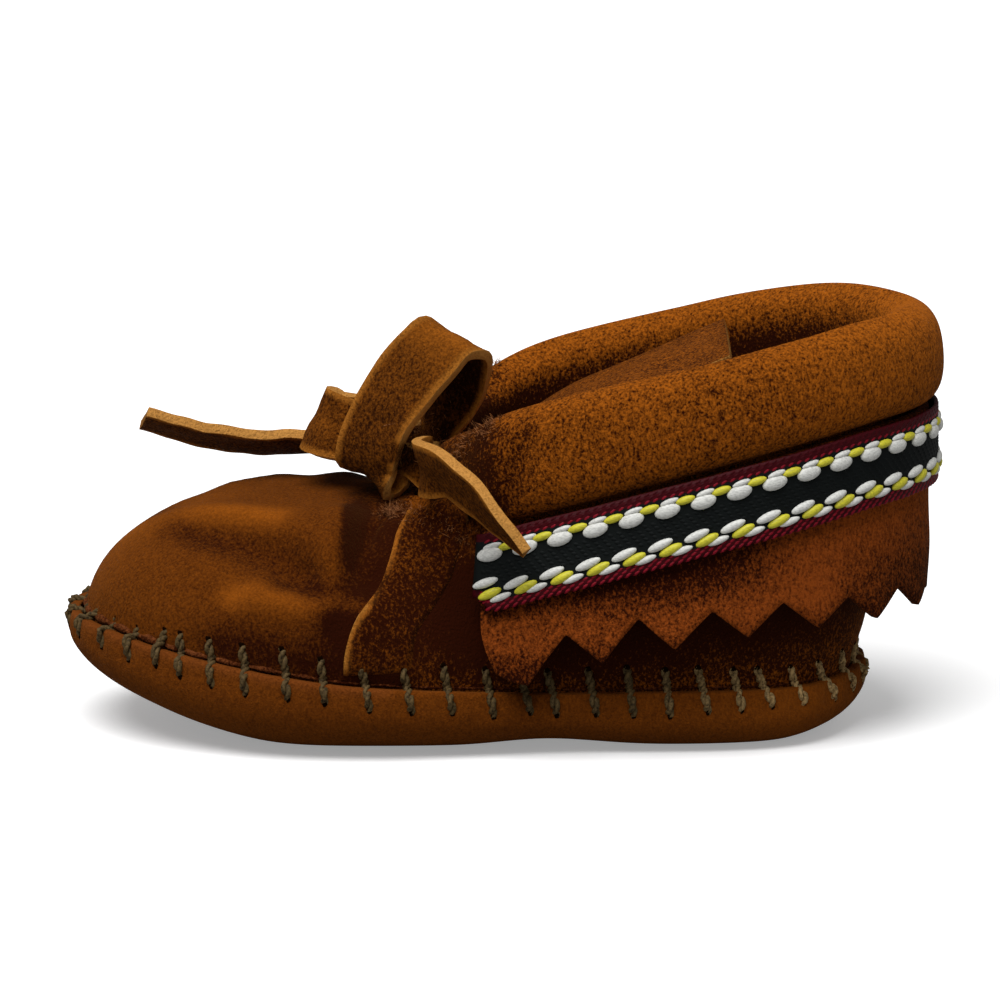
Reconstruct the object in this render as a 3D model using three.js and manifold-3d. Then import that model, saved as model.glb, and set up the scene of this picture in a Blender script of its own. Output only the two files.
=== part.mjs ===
// Baby moccasin of soft suede, size for an infant, in millimetres.
// The toe points to -X, the heel to +X, +Z is up and y = 0 is the middle plane.
// The last is soft and even on both sides, so the shoe fits either foot.
import * as THREE from 'three';
import { mergeVertices } from 'three/addons/utils/BufferGeometryUtils.js';
import Module from 'manifold-3d';

const wasm = await Module();
wasm.setup();

// Driving sizes of the last and the shoe
const soleLength = 120;
const ballWidth = 56;
const toeSeamHeight = 17.6;
const instepHeight = 37.6;
const collarHeight = 64.4;
const collarWidth = 58.4;
const toeShoulder = 24;

// Leather, and how far pieces that touch stay apart
const suede = 1.6;
const soleSuede = 1.7;
const lapStep = 1.2;
const gap = 0.3;
const tuck = 3;
const puff = 1.3;

// Sole
const ballRound = 14;
const heelRound = 8;
const archRise = 1;
const toeSpring = 6;
const heelSpring = 2;
const insoleThick = 1.2;

// Casing at the collar
const rollThick = 8.9;
const crestRound = 3.5;
const casingRoof = 1.9;

// Flap and braid that hang from the casing
const flapThick = 1.4;
const flapFromMiddle = 0.9;
const toothPitch = 10.4;
const braidWidth = 11.2;
const braidThick = 0.9;
const pickPitch = 5.3;
const pickRise = 0.45;
const braidRelief = 0.2;

// Tongue
const tongueWidth = 27;
const tongueThick = 1.4;

// Flat suede lace
const laceWidth = 9;
const laceThick = 1.4;
const knotSize = { x: 10.5, y: 10, z: 8 };

const rimHalf = (collarWidth - rollThick) / 2;
const ballHalf = ballWidth / 2;
const lerp = THREE.MathUtils.lerp;
const clamp = THREE.MathUtils.clamp;
const smooth = THREE.MathUtils.smoothstep;

// One row for each meridian of the upper, from the toe's middle (first) to the heel's (last).
// seam: on the sole's outer rim, shares of soleLength, ballHalf and toeSeamHeight.
// rim: at the top of the collar or throat, shares of soleLength, rimHalf and collarHeight.
// shoulder: run of the dome, share of toeShoulder; shoulderUp: its height, share of instepHeight.
// dome: 1 for a domed wall, 0 for an upright one; edge: where the lap or casing starts up the wall.
// full: how full the casing is; drop: casing's height, share of collarHeight.
const MERIDIANS = [
  // seamAt seamHalf seamUp rimAt rimHalf rimUp shoulder shoulderUp dome edge full drop
  [0.000, 0.000, 1.00, 0.4417, 0.000, 0.560, 1.00, 0.936, 1.00, 0.78, 0.0, 0.12],
  [0.013, 0.307, 1.00, 0.4408, 0.097, 0.560, 0.96, 0.934, 1.00, 0.78, 0.0, 0.12],
  [0.052, 0.550, 0.97, 0.4392, 0.186, 0.560, 0.88, 0.928, 1.00, 0.78, 0.0, 0.12],
  [0.117, 0.757, 0.89, 0.4375, 0.258, 0.560, 0.79, 0.923, 1.00, 0.78, 0.0, 0.12],
  [0.200, 0.907, 0.80, 0.4350, 0.315, 0.560, 0.73, 0.920, 1.00, 0.78, 0.0, 0.12],
  [0.283, 0.986, 0.72, 0.4333, 0.355, 0.563, 0.71, 0.926, 1.00, 0.79, 0.0, 0.12],
  [0.348, 1.000, 0.66, 0.4333, 0.387, 0.578, 0.71, 0.936, 1.00, 0.80, 0.0, 0.12],
  [0.425, 0.982, 0.62, 0.4530, 0.387, 0.580, 1.40, 1.000, 0.60, 0.80, 0.5, 0.12],
  [0.492, 0.943, 0.59, 0.4750, 0.403, 0.699, 1.40, 1.000, 0.40, 0.82, 0.64, 0.13],
  [0.542, 0.911, 0.57, 0.5040, 0.605, 0.739, 1.40, 1.000, 0.25, 0.76, 0.72, 0.19],
  [0.583, 0.889, 0.56, 0.5375, 0.823, 0.789, 1.40, 1.000, 0.10, 0.68, 1.0, 0.255],
  [0.625, 0.868, 0.55, 0.5917, 0.944, 0.828, 1.40, 1.000, 0.00, 0.69, 1.0, 0.260],
  [0.700, 0.843, 0.545, 0.6833, 0.996, 0.876, 1.40, 1.000, 0.00, 0.715, 1.0, 0.258],
  [0.783, 0.825, 0.545, 0.7833, 1.000, 0.918, 1.40, 1.000, 0.00, 0.735, 1.0, 0.248],
  [0.858, 0.782, 0.54, 0.8833, 0.911, 0.961, 1.40, 1.000, 0.00, 0.755, 1.0, 0.245],
  [0.929, 0.650, 0.54, 0.9750, 0.677, 0.992, 1.40, 1.000, 0.00, 0.77, 1.0, 0.240],
  [0.982, 0.371, 0.557, 1.0367, 0.355, 1.000, 1.40, 1.000, 0.00, 0.78, 1.0, 0.238],
  [1.000, 0.000, 0.568, 1.0567, 0.000, 1.000, 1.40, 1.000, 0.00, 0.78, 1.0, 0.238],
].map(([seamAt, seamHalf, seamUp, rimAt, rimHalf, rimUp, shoulder, shoulderUp, dome, edge, full,
  drop]) => ({ seamAt, seamHalf, seamUp, rimAt, rimHalf, rimUp, shoulder, shoulderUp, dome, edge,
  full, drop }));

const wingRow = 6;        // the meridian along the wing's cut front edge
const mouthRow = 8;       // the meridian where the casing opens for the lace
const flapRow = 10;       // the meridian where flap and braid start
const heelRow = MERIDIANS.length - 1;
const mouthLip = 0.12;    // share of a row in which the casing's end face closes
const lapFoot = 0.05;     // share of a row in which the wing's cut edge steps up

// How finely each stretch between two rows is divided
const STEPS = [2, 2, 2, 2, 2, 2, 2, 2, 2, 2, 2, 2, 2, 2, 3, 3, 3];

// A table's column at a row number with a fraction, smooth, and mirrored past toe and heel
function column(name, row) {
  const odd = name === 'seamHalf' || name === 'rimHalf';
  const at = (i) => {
    if (i < 0) return (odd ? -1 : 1) * MERIDIANS[-i][name];
    if (i > heelRow) return (odd ? -1 : 1) * MERIDIANS[2 * heelRow - i][name];
    return MERIDIANS[i][name];
  };
  const i = Math.min(Math.floor(row), heelRow - 1);
  const t = row - i;
  const [a, b, c, d] = [at(i - 1), at(i), at(i + 1), at(i + 2)];
  return b + 0.5 * t * (c - a + t * (2 * a - 5 * b + 4 * c - d + t * (3 * (b - c) + d - a)));
}

// Turns run 0 at the toe, up to heelRow on the near side (-y), and back below 0 on the far side
const sideOf = (turn) => (turn < 0 ? 1 : -1);

function wrapTurn(turn) {
  const whole = 2 * heelRow;
  return ((((turn + heelRow) % whole) + whole) % whole) - heelRow;
}

function seamPoint(turn) {
  const t = wrapTurn(turn);
  const row = Math.abs(t);
  return new THREE.Vector3(
    (column('seamAt', row) - 0.5) * soleLength,
    sideOf(t) * column('seamHalf', row) * ballHalf,
    column('seamUp', row) * toeSeamHeight,
  );
}

function rimPoint(turn) {
  const t = wrapTurn(turn);
  const row = Math.abs(t);
  return new THREE.Vector3(
    (column('rimAt', row) - 0.5) * soleLength,
    sideOf(t) * column('rimHalf', row) * rimHalf,
    column('rimUp', row) * collarHeight,
  );
}

// The level direction out of a closed outline at a turn
function outward(pointAt, turn) {
  const step = 0.02;
  const along = pointAt(turn + step).sub(pointAt(turn - step));
  return new THREE.Vector3(along.y, -along.x, 0).normalize();
}

// Behind its mouth the casing is there, in front of it the wall is plain
function casingShare(turn) {
  const row = Math.abs(wrapTurn(turn));
  return clamp((row - mouthRow + mouthLip) / mouthLip, 0, 1);
}

function casingThick(turn) {
  return clamp(column('full', Math.abs(wrapTurn(turn))), 0, 1) * rollThick;
}

const rimOut = (turn) => outward(rimPoint, turn);
const seamOut = (turn) => outward(seamPoint, turn);

// The middle line of the wall along one meridian, from inside the sole's rim up to the rim
const wallInset = soleSuede + gap + suede / 2;
const domePower = 1.7;
const lineSteps = 40;

function wallLine(turn) {
  const row = Math.abs(wrapTurn(turn));
  const seam = seamPoint(turn);
  const out = seamOut(turn);
  const start = seam.clone().addScaledVector(out, -wallInset);
  const folded = smooth(row, mouthRow - 1.5, mouthRow + 0.2);
  const inside = folded * Math.max(casingThick(turn) - suede, 0) / 2;
  const top = rimPoint(turn).addScaledVector(rimOut(turn), -inside);
  top.z -= lerp(suede / 2, crestRound * casingThick(turn) / rollThick, folded);
  const plan = new THREE.Vector3(top.x - start.x, top.y - start.y, 0);
  const run = plan.length();
  const shoulder = Math.min(column('shoulder', row) * toeShoulder, run);
  const corner = start.clone().addScaledVector(plan, shoulder / run);
  const reached = smooth(shoulder / run, 0.8, 1);
  corner.z = lerp(column('shoulderUp', row) * instepHeight - suede / 2, top.z, reached);
  const dome = clamp(column('dome', row), 0, 1);
  const side = clamp(column('seamHalf', row), 0, 1);
  const points = [start.clone().setZ(seam.z - tuck)];
  for (let i = 0; i <= lineSteps; i += 1) {
    const share = i / lineSteps;
    const angle = share * Math.PI / 2;
    const run1 = lerp(share, 1 - Math.cos(angle) ** (2 / domePower), dome);
    const rise = lerp(share, Math.sin(angle) ** (2 / domePower), dome);
    const point = start.clone();
    point.x = lerp(start.x, corner.x, run1);
    point.y = lerp(start.y, corner.y, run1);
    point.z = lerp(seam.z, corner.z, rise);
    point.addScaledVector(out, puff * side * Math.sin(Math.PI * Math.min(1, rise * 1.6)) ** 2);
    points.push(point);
  }
  if (run - shoulder > 0.5) points.push(top);
  const lengths = [0];
  for (let i = 1; i < points.length; i += 1) {
    lengths.push(lengths[i - 1] + points[i].distanceTo(points[i - 1]));
  }
  return { points, lengths };
}

function pointOn(line, share) {
  const goal = clamp(share, 0, 1) * line.lengths[line.lengths.length - 1];
  let i = 1;
  while (i < line.points.length - 1 && line.lengths[i] < goal) i += 1;
  const part = (goal - line.lengths[i - 1]) / (line.lengths[i] - line.lengths[i - 1]);
  return line.points[i - 1].clone().lerp(line.points[i], part);
}

// A station of the upper: the lines of its meridian and of its two neighbours
function makeStation(turn) {
  const step = 0.04;
  return {
    turn,
    row: Math.abs(wrapTurn(turn)),
    line: wallLine(turn),
    before: wallLine(turn - step),
    after: wallLine(turn + step),
  };
}

// Square to the wall, away from the foot
function wallNormal(station, share) {
  const along = pointOn(station.after, share).sub(pointOn(station.before, share));
  const up = pointOn(station.line, share + 0.02).sub(pointOn(station.line, share - 0.02));
  return along.cross(up).normalize();
}

function wallPoint(station, share, offset) {
  return pointOn(station.line, share).addScaledVector(wallNormal(station, share), offset);
}

// The quarter's leather lies on the vamp's edge, then the vamp's layer runs out under it
const isLapped = (row) => row > wingRow - lapFoot / 2;
const innerLift = (row) => lapStep * smooth(row, wingRow + 0.5, mouthRow);

const WALL_SHARES = [0, 0.1, 0.2, 0.32, 0.46, 0.6, 0.74, 0.88, 1];
const tuckedRows = 2;
const INNER_SHARES = [1, 0.88, 0.74, 0.58, 0.42, 0.28, 0.16, 0.08, 0];

// The casing's outer line, from its lower edge over the crest: out, share of rollThick from the
// inner face; down, share of the casing's height below the crest; flat, share of the plain wall
const CASING_ROWS = [
  // out down flat
  [0.40, 1.00, 0.02],
  [0.74, 0.98, 0.12],
  [0.95, 0.86, 0.25],
  [1.02, 0.66, 0.40],
  [1.00, 0.42, 0.55],
  [0.92, 0.20, 0.70],
  [0.72, 0.05, 0.85],
  [0.45, 0.00, 1.00],
].map(([out, down, flat]) => ({ out, down, flat }));

function casingPoint(turn, out, down) {
  const row = Math.abs(wrapTurn(turn));
  const thick = Math.max(casingThick(turn), suede);
  const point = rimPoint(turn).addScaledVector(rimOut(turn), (out - 0.5) * thick);
  point.z -= down * column('drop', row) * collarHeight;
  return point;
}

// All points around the wall's section on one meridian
function upperSection(turn) {
  const station = makeStation(turn);
  const { row } = station;
  const edge = column('edge', row);
  const lift = isLapped(row) ? lapStep : 0;
  const inner = (s) => {
    const below = 1 - smooth(s, edge - 0.12, edge + 0.08);
    return wallPoint(station, s, below * innerLift(row) - suede / 2);
  };
  const share = casingShare(turn);
  const points = WALL_SHARES.map((s, i) => (
    wallPoint(station, s * edge, (i < tuckedRows ? 0 : lift) + suede / 2)));
  const under = innerLift(row) + suede / 2;
  for (const { out, down, flat } of CASING_ROWS) {
    const plain = wallPoint(station, lerp(edge + 0.01, 1, flat), under);
    points.push(plain.lerp(casingPoint(turn, out, down), share));
  }
  points.push(wallPoint(station, 1, 0).lerp(casingPoint(turn, 0.12, 0.1), share));
  INNER_SHARES.forEach((s) => points.push(inner(s)));
  return points;
}

// Turns of all stations, around the shoe, with a pair at each cut edge
function allTurns() {
  const half = [];
  STEPS.forEach((steps, row) => {
    for (let i = 0; i < steps; i += 1) half.push(row + i / steps);
  });
  half.push(wingRow - lapFoot);
  half.push(mouthRow - mouthLip);
  half.sort((a, b) => a - b);
  const near = [...half, heelRow];
  const far = half.filter((t) => t > 0).map((t) => -t).reverse();
  return [...near, ...far];
}

const TURNS = allTurns();

// Makes a closed body from rings or sections of equal length
function bodyFrom(sections, { loop = false, capped = false } = {}) {
  const count = sections[0].length;
  const points = sections.flat();
  const faces = [];
  const rows = loop ? sections.length : sections.length - 1;
  for (let i = 0; i < rows; i += 1) {
    const a = i * count;
    const b = ((i + 1) % sections.length) * count;
    for (let j = 0; j < count; j += 1) {
      const k = (j + 1) % count;
      faces.push([a + j, b + j, b + k], [a + j, b + k, a + k]);
    }
  }
  if (capped) {
    for (const [start, flip] of [[0, true], [(sections.length - 1) * count, false]]) {
      const middle = new THREE.Vector3();
      for (let j = 0; j < count; j += 1) middle.addScaledVector(points[start + j], 1 / count);
      points.push(middle);
      for (let j = 0; j < count; j += 1) {
        const k = start + ((j + 1) % count);
        faces.push(flip ? [points.length - 1, start + j, k] : [points.length - 1, k, start + j]);
      }
    }
  }
  return closedGeometry(points, faces);
}

function closedGeometry(points, faces) {
  let geometry = new THREE.BufferGeometry();
  const flat = points.flatMap((p) => [p.x, p.y, p.z]);
  geometry.setAttribute('position', new THREE.Float32BufferAttribute(flat, 3));
  geometry.setIndex(faces.flat());
  geometry = mergeVertices(geometry, 1e-4);
  const index = geometry.getIndex().array;
  const kept = [];
  for (let i = 0; i < index.length; i += 3) {
    const [a, b, c] = [index[i], index[i + 1], index[i + 2]];
    if (a !== b && b !== c && a !== c) kept.push(a, b, c);
  }
  geometry.setIndex(kept);
  if (volumeOf(geometry) < 0) {
    for (let i = 0; i < kept.length; i += 3) [kept[i], kept[i + 1]] = [kept[i + 1], kept[i]];
    geometry.setIndex(kept);
  }
  return geometry;
}

function volumeOf(geometry) {
  const index = geometry.getIndex().array;
  const position = geometry.getAttribute('position');
  const [a, b, c] = [0, 1, 2].map(() => new THREE.Vector3());
  let sum = 0;
  for (let i = 0; i < index.length; i += 3) {
    a.fromBufferAttribute(position, index[i]);
    b.fromBufferAttribute(position, index[i + 1]);
    c.fromBufferAttribute(position, index[i + 2]);
    sum += a.dot(b.cross(c));
  }
  return sum / 6;
}

function toManifold(geometry) {
  const vertProperties = Float32Array.from(geometry.getAttribute('position').array);
  const triVerts = Uint32Array.from(geometry.getIndex().array);
  const mesh = new wasm.Mesh({ numProp: 3, vertProperties, triVerts });
  return new wasm.Manifold(mesh);
}

function fromManifold(solid) {
  const { vertProperties, triVerts } = solid.getMesh();
  const geometry = new THREE.BufferGeometry();
  geometry.setAttribute('position', new THREE.Float32BufferAttribute(vertProperties, 3));
  geometry.setIndex(Array.from(triVerts));
  return geometry;
}

// Sole: height of its floor at a place along the shoe, with toe spring, arch and heel spring
function floorHeight(x) {
  const at = x / soleLength + 0.5;
  const spring = toeSpring * clamp((0.27 - at) / 0.2, 0, 2) ** 1.4;
  const arch = archRise * smooth(at, 0.48, 0.6) * (1 - smooth(at, 0.6, 0.73));
  return spring + arch + heelSpring * clamp((at - 0.88) / 0.1, 0, 2) ** 1.5;
}

// How far the tray's side runs in under the foot: further at the ball than at the heel
function sideRun(turn) {
  return lerp(ballRound, heelRound, smooth(column('seamAt', Math.abs(turn)), 0.35, 0.8));
}

// The tray's outer line from rim to floor: inset, share of that run; rise, share of the way up
const TRAY_ROWS = [
  // inset rise
  [0.00, 1.00],
  [-0.04, 0.78],
  [-0.02, 0.54],
  [0.09, 0.30],
  [0.36, 0.10],
  [0.95, 0.00],
].map(([inset, rise]) => ({ inset, rise }));

function trayRing(turns, { inset, rise }, inside) {
  return turns.map((turn) => {
    const seam = seamPoint(turn);
    const out = seamOut(turn);
    const level = seam.clone().addScaledVector(out, -inset * sideRun(turn) - inside);
    const floor = floorHeight(level.x) + inside;
    return level.setZ(lerp(floor, seam.z, rise));
  });
}

// The floor closes on a line along its middle
function spineRing(turns, inset, lift) {
  const reach = soleLength / 2 - inset;
  return turns.map((turn) => {
    const x = clamp(seamPoint(turn).x, -reach, reach);
    return new THREE.Vector3(x, 0, floorHeight(x) + lift);
  });
}

const soleTurns = TURNS.filter((t) => {
  const row = Math.abs(t);
  return Math.abs(row - wingRow + lapFoot) > 1e-6 && Math.abs(row - mouthRow + mouthLip) > 1e-6;
});
const spineInset = 1.3 * ballRound;

function makeSole() {
  const outer = TRAY_ROWS.map((row) => trayRing(soleTurns, row, 0));
  const inner = TRAY_ROWS.map((row) => trayRing(soleTurns, row, soleSuede));
  return bodyFrom([
    spineRing(soleTurns, spineInset, 0),
    ...outer.reverse(),
    ...inner,
    spineRing(soleTurns, spineInset, soleSuede),
  ]);
}

// Insole: a thin lining inside the turned-up wall
function makeInsole() {
  const low = soleSuede + gap;
  const edge = { inset: TRAY_ROWS[TRAY_ROWS.length - 1].inset, rise: 0 };
  const bottom = trayRing(soleTurns, edge, low);
  const top = bottom.map((p) => p.clone().setZ(p.z + insoleThick));
  return bodyFrom([
    spineRing(soleTurns, spineInset, low),
    bottom,
    top,
    spineRing(soleTurns, spineInset, low + insoleThick),
  ]);
}

// The hollow of the casing, and the lace inside it, share one line of sections
function casingTurns(from, steps) {
  const turns = [];
  for (let i = 0; i <= steps; i += 1) turns.push(lerp(from, heelRow, i / steps));
  const far = turns.slice(0, -1).reverse().map((t) => -t);
  return [...turns, ...far];
}

// Middle of the casing's hollow at a turn, with its half sizes
function casingCore(turn) {
  const row = Math.abs(wrapTurn(turn));
  const drop = column('drop', row) * collarHeight;
  const middle = rimPoint(turn);
  middle.z -= casingRoof + (drop - casingRoof - suede) / 2;
  return { middle, halfWide: casingThick(turn) / 2 - suede, halfTall: (drop - casingRoof - suede) / 2 };
}

function ovalSection(middle, out, halfWide, halfTall, sides) {
  const points = [];
  for (let i = 0; i < sides; i += 1) {
    const angle = (2 * Math.PI * (i + 0.5)) / sides;
    const wide = Math.sign(Math.cos(angle)) * Math.abs(Math.cos(angle)) ** 0.7;
    const point = middle.clone().addScaledVector(out, halfWide * wide);
    point.z += halfTall * Math.sin(angle);
    points.push(point);
  }
  return points;
}

// Direction in which the casing's mouth looks, towards the knot
function mouthWay(side) {
  const turn = side * mouthRow;
  const inner = casingCore(turn + side * 0.3).middle;
  return casingCore(turn).middle.sub(inner).normalize();
}

const mouthReach = 2;
const mouthRoom = 1.6;

function casingHollow() {
  const sections = casingTurns(mouthRow, 18).map((turn) => {
    const { middle, halfWide, halfTall } = casingCore(turn);
    return ovalSection(middle, rimOut(turn), halfWide, halfTall, 8);
  });
  for (const side of [1, -1]) {
    const turn = side * mouthRow;
    const { middle, halfWide, halfTall } = casingCore(turn);
    middle.addScaledVector(mouthWay(side), mouthReach + mouthRoom);
    const section = ovalSection(middle, rimOut(turn), halfWide, halfTall, 8);
    if (side > 0) sections.unshift(section);
    else sections.push(section);
  }
  return bodyFrom(sections, { capped: true });
}

function makeUpper() {
  const body = toManifold(bodyFrom(TURNS.map(upperSection), { loop: true }));
  return fromManifold(body.subtract(toManifold(casingHollow())));
}

// Tongue: at, from the throat to its free end, share of soleLength; up, share of collarHeight;
// wide, share of its width; sag, how far its edges lie below its middle, share of its width
const TONGUE_ROWS = [
  // at up wide sag
  [0.400, 0.493, 0.62, 0.02],
  [0.442, 0.511, 0.64, 0.02],
  [0.475, 0.545, 0.66, 0.03],
  [0.520, 0.640, 0.74, 0.05],
  [0.580, 0.722, 0.90, 0.05],
  [0.660, 0.790, 0.98, 0.04],
  [0.750, 0.852, 1.00, 0.02],
  [0.825, 0.902, 0.98, 0.00],
].map(([at, up, wide, sag]) => ({ at, up, wide, sag }));

function makeTongue() {
  const across = [-1, -0.6, 0, 0.6, 1];
  const middles = TONGUE_ROWS.map(({ at, up }) => (
    new THREE.Vector3((at - 0.5) * soleLength, 0, up * collarHeight)));
  const sections = TONGUE_ROWS.map(({ wide, sag }, i) => {
    const next = middles[Math.min(i + 1, middles.length - 1)];
    const along = next.clone().sub(middles[Math.max(i - 1, 0)]).normalize();
    const up = new THREE.Vector3(-along.z, 0, along.x);
    const face = (s, lift) => {
      const point = middles[i].clone().addScaledVector(up, lift - sag * tongueWidth * s * s);
      return point.setY(s * wide * tongueWidth / 2);
    };
    const top = across.map((s) => face(s, tongueThick / 2));
    const low = across.map((s) => face(s, -tongueThick / 2)).reverse();
    return [...top, ...low];
  });
  return bodyFrom(sections, { capped: true });
}

// The line that flap and braid hang from: the casing's middle, run straight on at the front
function hangPoint(row, side) {
  if (row >= flapRow + 1) return rimPoint(side * row);
  const start = rimPoint(side * (flapRow + 1));
  const way = start.clone().sub(rimPoint(side * (flapRow + 1.5))).setZ(0).normalize();
  const reach = start.x - (column('rimAt', flapRow) - 0.5 - flapLead) * soleLength;
  start.addScaledVector(way, (flapRow + 1 - row) * reach / Math.abs(way.x));
  return start.setZ(lerp(rimPoint(flapRow).z, start.z, row - flapRow));
}

const flapLead = 0.016;
const flapSteps = 120;

// Places along the hanging line, evenly stepped by real length, from near front to far front
function makeHangLine() {
  const rows = [];
  for (let i = 0; i <= flapSteps; i += 1) rows.push(lerp(flapRow, heelRow, i / flapSteps));
  const line = [...rows.map((r) => [r, 1]), ...rows.slice(0, -1).reverse().map((r) => [r, -1])];
  const points = line.map(([row, side]) => hangPoint(row, side));
  const lengths = [0];
  for (let i = 1; i < points.length; i += 1) {
    const step = points[i].clone().sub(points[i - 1]).setZ(0).length();
    lengths.push(lengths[i - 1] + step);
  }
  return { points, rows: line.map(([row]) => row), lengths };
}

const HANG = makeHangLine();
const hangLength = HANG.lengths[HANG.lengths.length - 1];

function hangAt(length) {
  const goal = clamp(length, 0, hangLength);
  let i = 1;
  while (i < HANG.points.length - 1 && HANG.lengths[i] < goal) i += 1;
  const part = (goal - HANG.lengths[i - 1]) / (HANG.lengths[i] - HANG.lengths[i - 1]);
  const point = HANG.points[i - 1].clone().lerp(HANG.points[i], part);
  const ahead = HANG.points[Math.min(i + 1, HANG.points.length - 1)];
  const along = ahead.clone().sub(HANG.points[Math.max(i - 2, 0)]);
  const out = new THREE.Vector3(along.y, -along.x, 0).normalize();
  return { point, out, row: lerp(HANG.rows[i - 1], HANG.rows[i], part) };
}

// Flap: rows along it, at meridian row; low, its tips below the casing's crest, share of
// collarHeight; tooth, depth of its teeth, share of toothPitch; flare, how far its lower edge
// stands out, share of rollThick
const FLAP_ROWS = [
  // row low tooth flare
  [10, 0.600, 0.50, 0.52],
  [11, 0.635, 0.60, 0.50],
  [12, 0.622, 0.54, 0.40],
  [13, 0.630, 0.46, 0.30],
  [14, 0.655, 0.42, 0.20],
  [15, 0.690, 0.40, 0.12],
  [16, 0.698, 0.38, 0.06],
  [17, 0.699, 0.36, 0.04],
].map(([row, low, tooth, flare]) => ({ row, low, tooth, flare }));

function flapValue(name, row) {
  const i = clamp(Math.floor(row) - flapRow, 0, FLAP_ROWS.length - 2);
  const t = clamp(row - flapRow - i, 0, 1);
  return lerp(FLAP_ROWS[i][name], FLAP_ROWS[i + 1][name], t);
}

// A point of the hanging cloth: down, below the crest; away, from the casing's middle line
function hangingPoint(length, down, away) {
  const { point, out, row } = hangAt(length);
  const drop = column('drop', row) * collarHeight;
  const below = (down - drop) / (flapValue('low', row) * collarHeight - drop);
  const flare = flapValue('flare', row) * rollThick * clamp(below, 0, 1);
  point.addScaledVector(out, away + flare);
  point.z -= down;
  return point;
}

const hangTop = (length) => column('drop', hangAt(length).row) * collarHeight + gap;
const cornerRound = 0.7;

function makeFlap() {
  const teeth = Math.round(hangLength / toothPitch);
  const half = hangLength / teeth / 2;
  const sections = [];
  for (let i = 0; i <= teeth * 4; i += 1) {
    const length = i * half / 2;
    const { row } = hangAt(length);
    const wave = [0.5, 0, 0.5, 1][(i + 2) % 4];
    const ends = Math.min(length, hangLength - length) / (cornerRound * toothPitch);
    const corner = (1 - Math.sqrt(1 - (1 - clamp(ends, 0, 1)) ** 2)) * cornerRound * toothPitch;
    const tooth = ends < 1 ? corner : wave * flapValue('tooth', row) * toothPitch;
    const low = flapValue('low', row) * collarHeight - tooth;
    const top = hangTop(length);
    const middle = lerp(top, low, 0.5);
    const inner = flapFromMiddle;
    const outer = flapFromMiddle + flapThick;
    sections.push([
      hangingPoint(length, top, outer),
      hangingPoint(length, middle, outer),
      hangingPoint(length, low, outer),
      hangingPoint(length, low, inner),
      hangingPoint(length, middle, inner),
      hangingPoint(length, top, inner),
    ]);
  }
  return bodyFrom(sections, { capped: true });
}

// Braid: across its width from top to bottom; at, share of braidWidth; kind, ground or pick
const BRAID_ROWS = [
  // at kind
  [0.00, 'ground'],
  [0.13, 'ground'],
  [0.17, 'pick'],
  [0.33, 'pick'],
  [0.37, 'ground'],
  [0.66, 'ground'],
  [0.70, 'pick'],
  [0.84, 'pick'],
  [0.88, 'ground'],
  [1.00, 'ground'],
].map(([at, kind]) => ({ at, kind }));

function makeBraid() {
  const picks = Math.round(hangLength / pickPitch);
  const back = flapFromMiddle + flapThick + gap;
  const sections = [];
  for (let i = 0; i <= picks * 2; i += 1) {
    const length = (i / (picks * 2)) * hangLength;
    const top = hangTop(length) + gap;
    const rise = i % 2 === 1 ? pickRise : braidRelief;
    const front = BRAID_ROWS.map(({ at, kind }) => {
      const proud = kind === 'pick' ? rise : 0;
      return hangingPoint(length, top + at * braidWidth, back + braidThick + proud);
    });
    sections.push([
      ...front,
      hangingPoint(length, top + braidWidth, back),
      hangingPoint(length, top + braidWidth / 2, back),
      hangingPoint(length, top, back),
    ]);
  }
  return bodyFrom(sections, { capped: true });
}

// Flat lace: a band with square edges through points, each with the way that its width runs
function makeBand(points, ways, widths, thick) {
  const sections = points.map((point, i) => {
    const ahead = points[Math.min(i + 1, points.length - 1)];
    const along = ahead.clone().sub(points[Math.max(i - 1, 0)]).normalize();
    const wide = ways[i].clone().addScaledVector(along, -ways[i].dot(along)).normalize();
    const face = along.clone().cross(wide);
    const corner = (w, t) => point.clone()
      .addScaledVector(wide, w * widths[i] / 2)
      .addScaledVector(face, t * thick / 2);
    return [corner(1, 1), corner(-1, 1), corner(-1, -1), corner(1, -1)];
  });
  return bodyFrom(sections, { capped: true });
}

// The lace inside the casing stands on edge, and bunches where it comes out of the mouths
function makeLaceInCasing() {
  const turns = casingTurns(mouthRow, 20);
  const up = new THREE.Vector3(0, 0, 1);
  const points = turns.map((turn) => casingCore(turn).middle);
  const fits = turns.map((turn) => 1.6 * casingCore(turn).halfTall - 3 * gap);
  const widths = fits.map((room) => Math.min(laceWidth, room));
  for (const side of [1, -1]) {
    const point = casingCore(side * mouthRow).middle;
    point.addScaledVector(mouthWay(side), mouthReach);
    if (side > 0) points.unshift(point);
    else points.push(point);
  }
  widths.unshift(widths[0]);
  widths.push(widths[widths.length - 1]);
  return makeBand(points, points.map(() => up), widths, laceThick);
}

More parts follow.
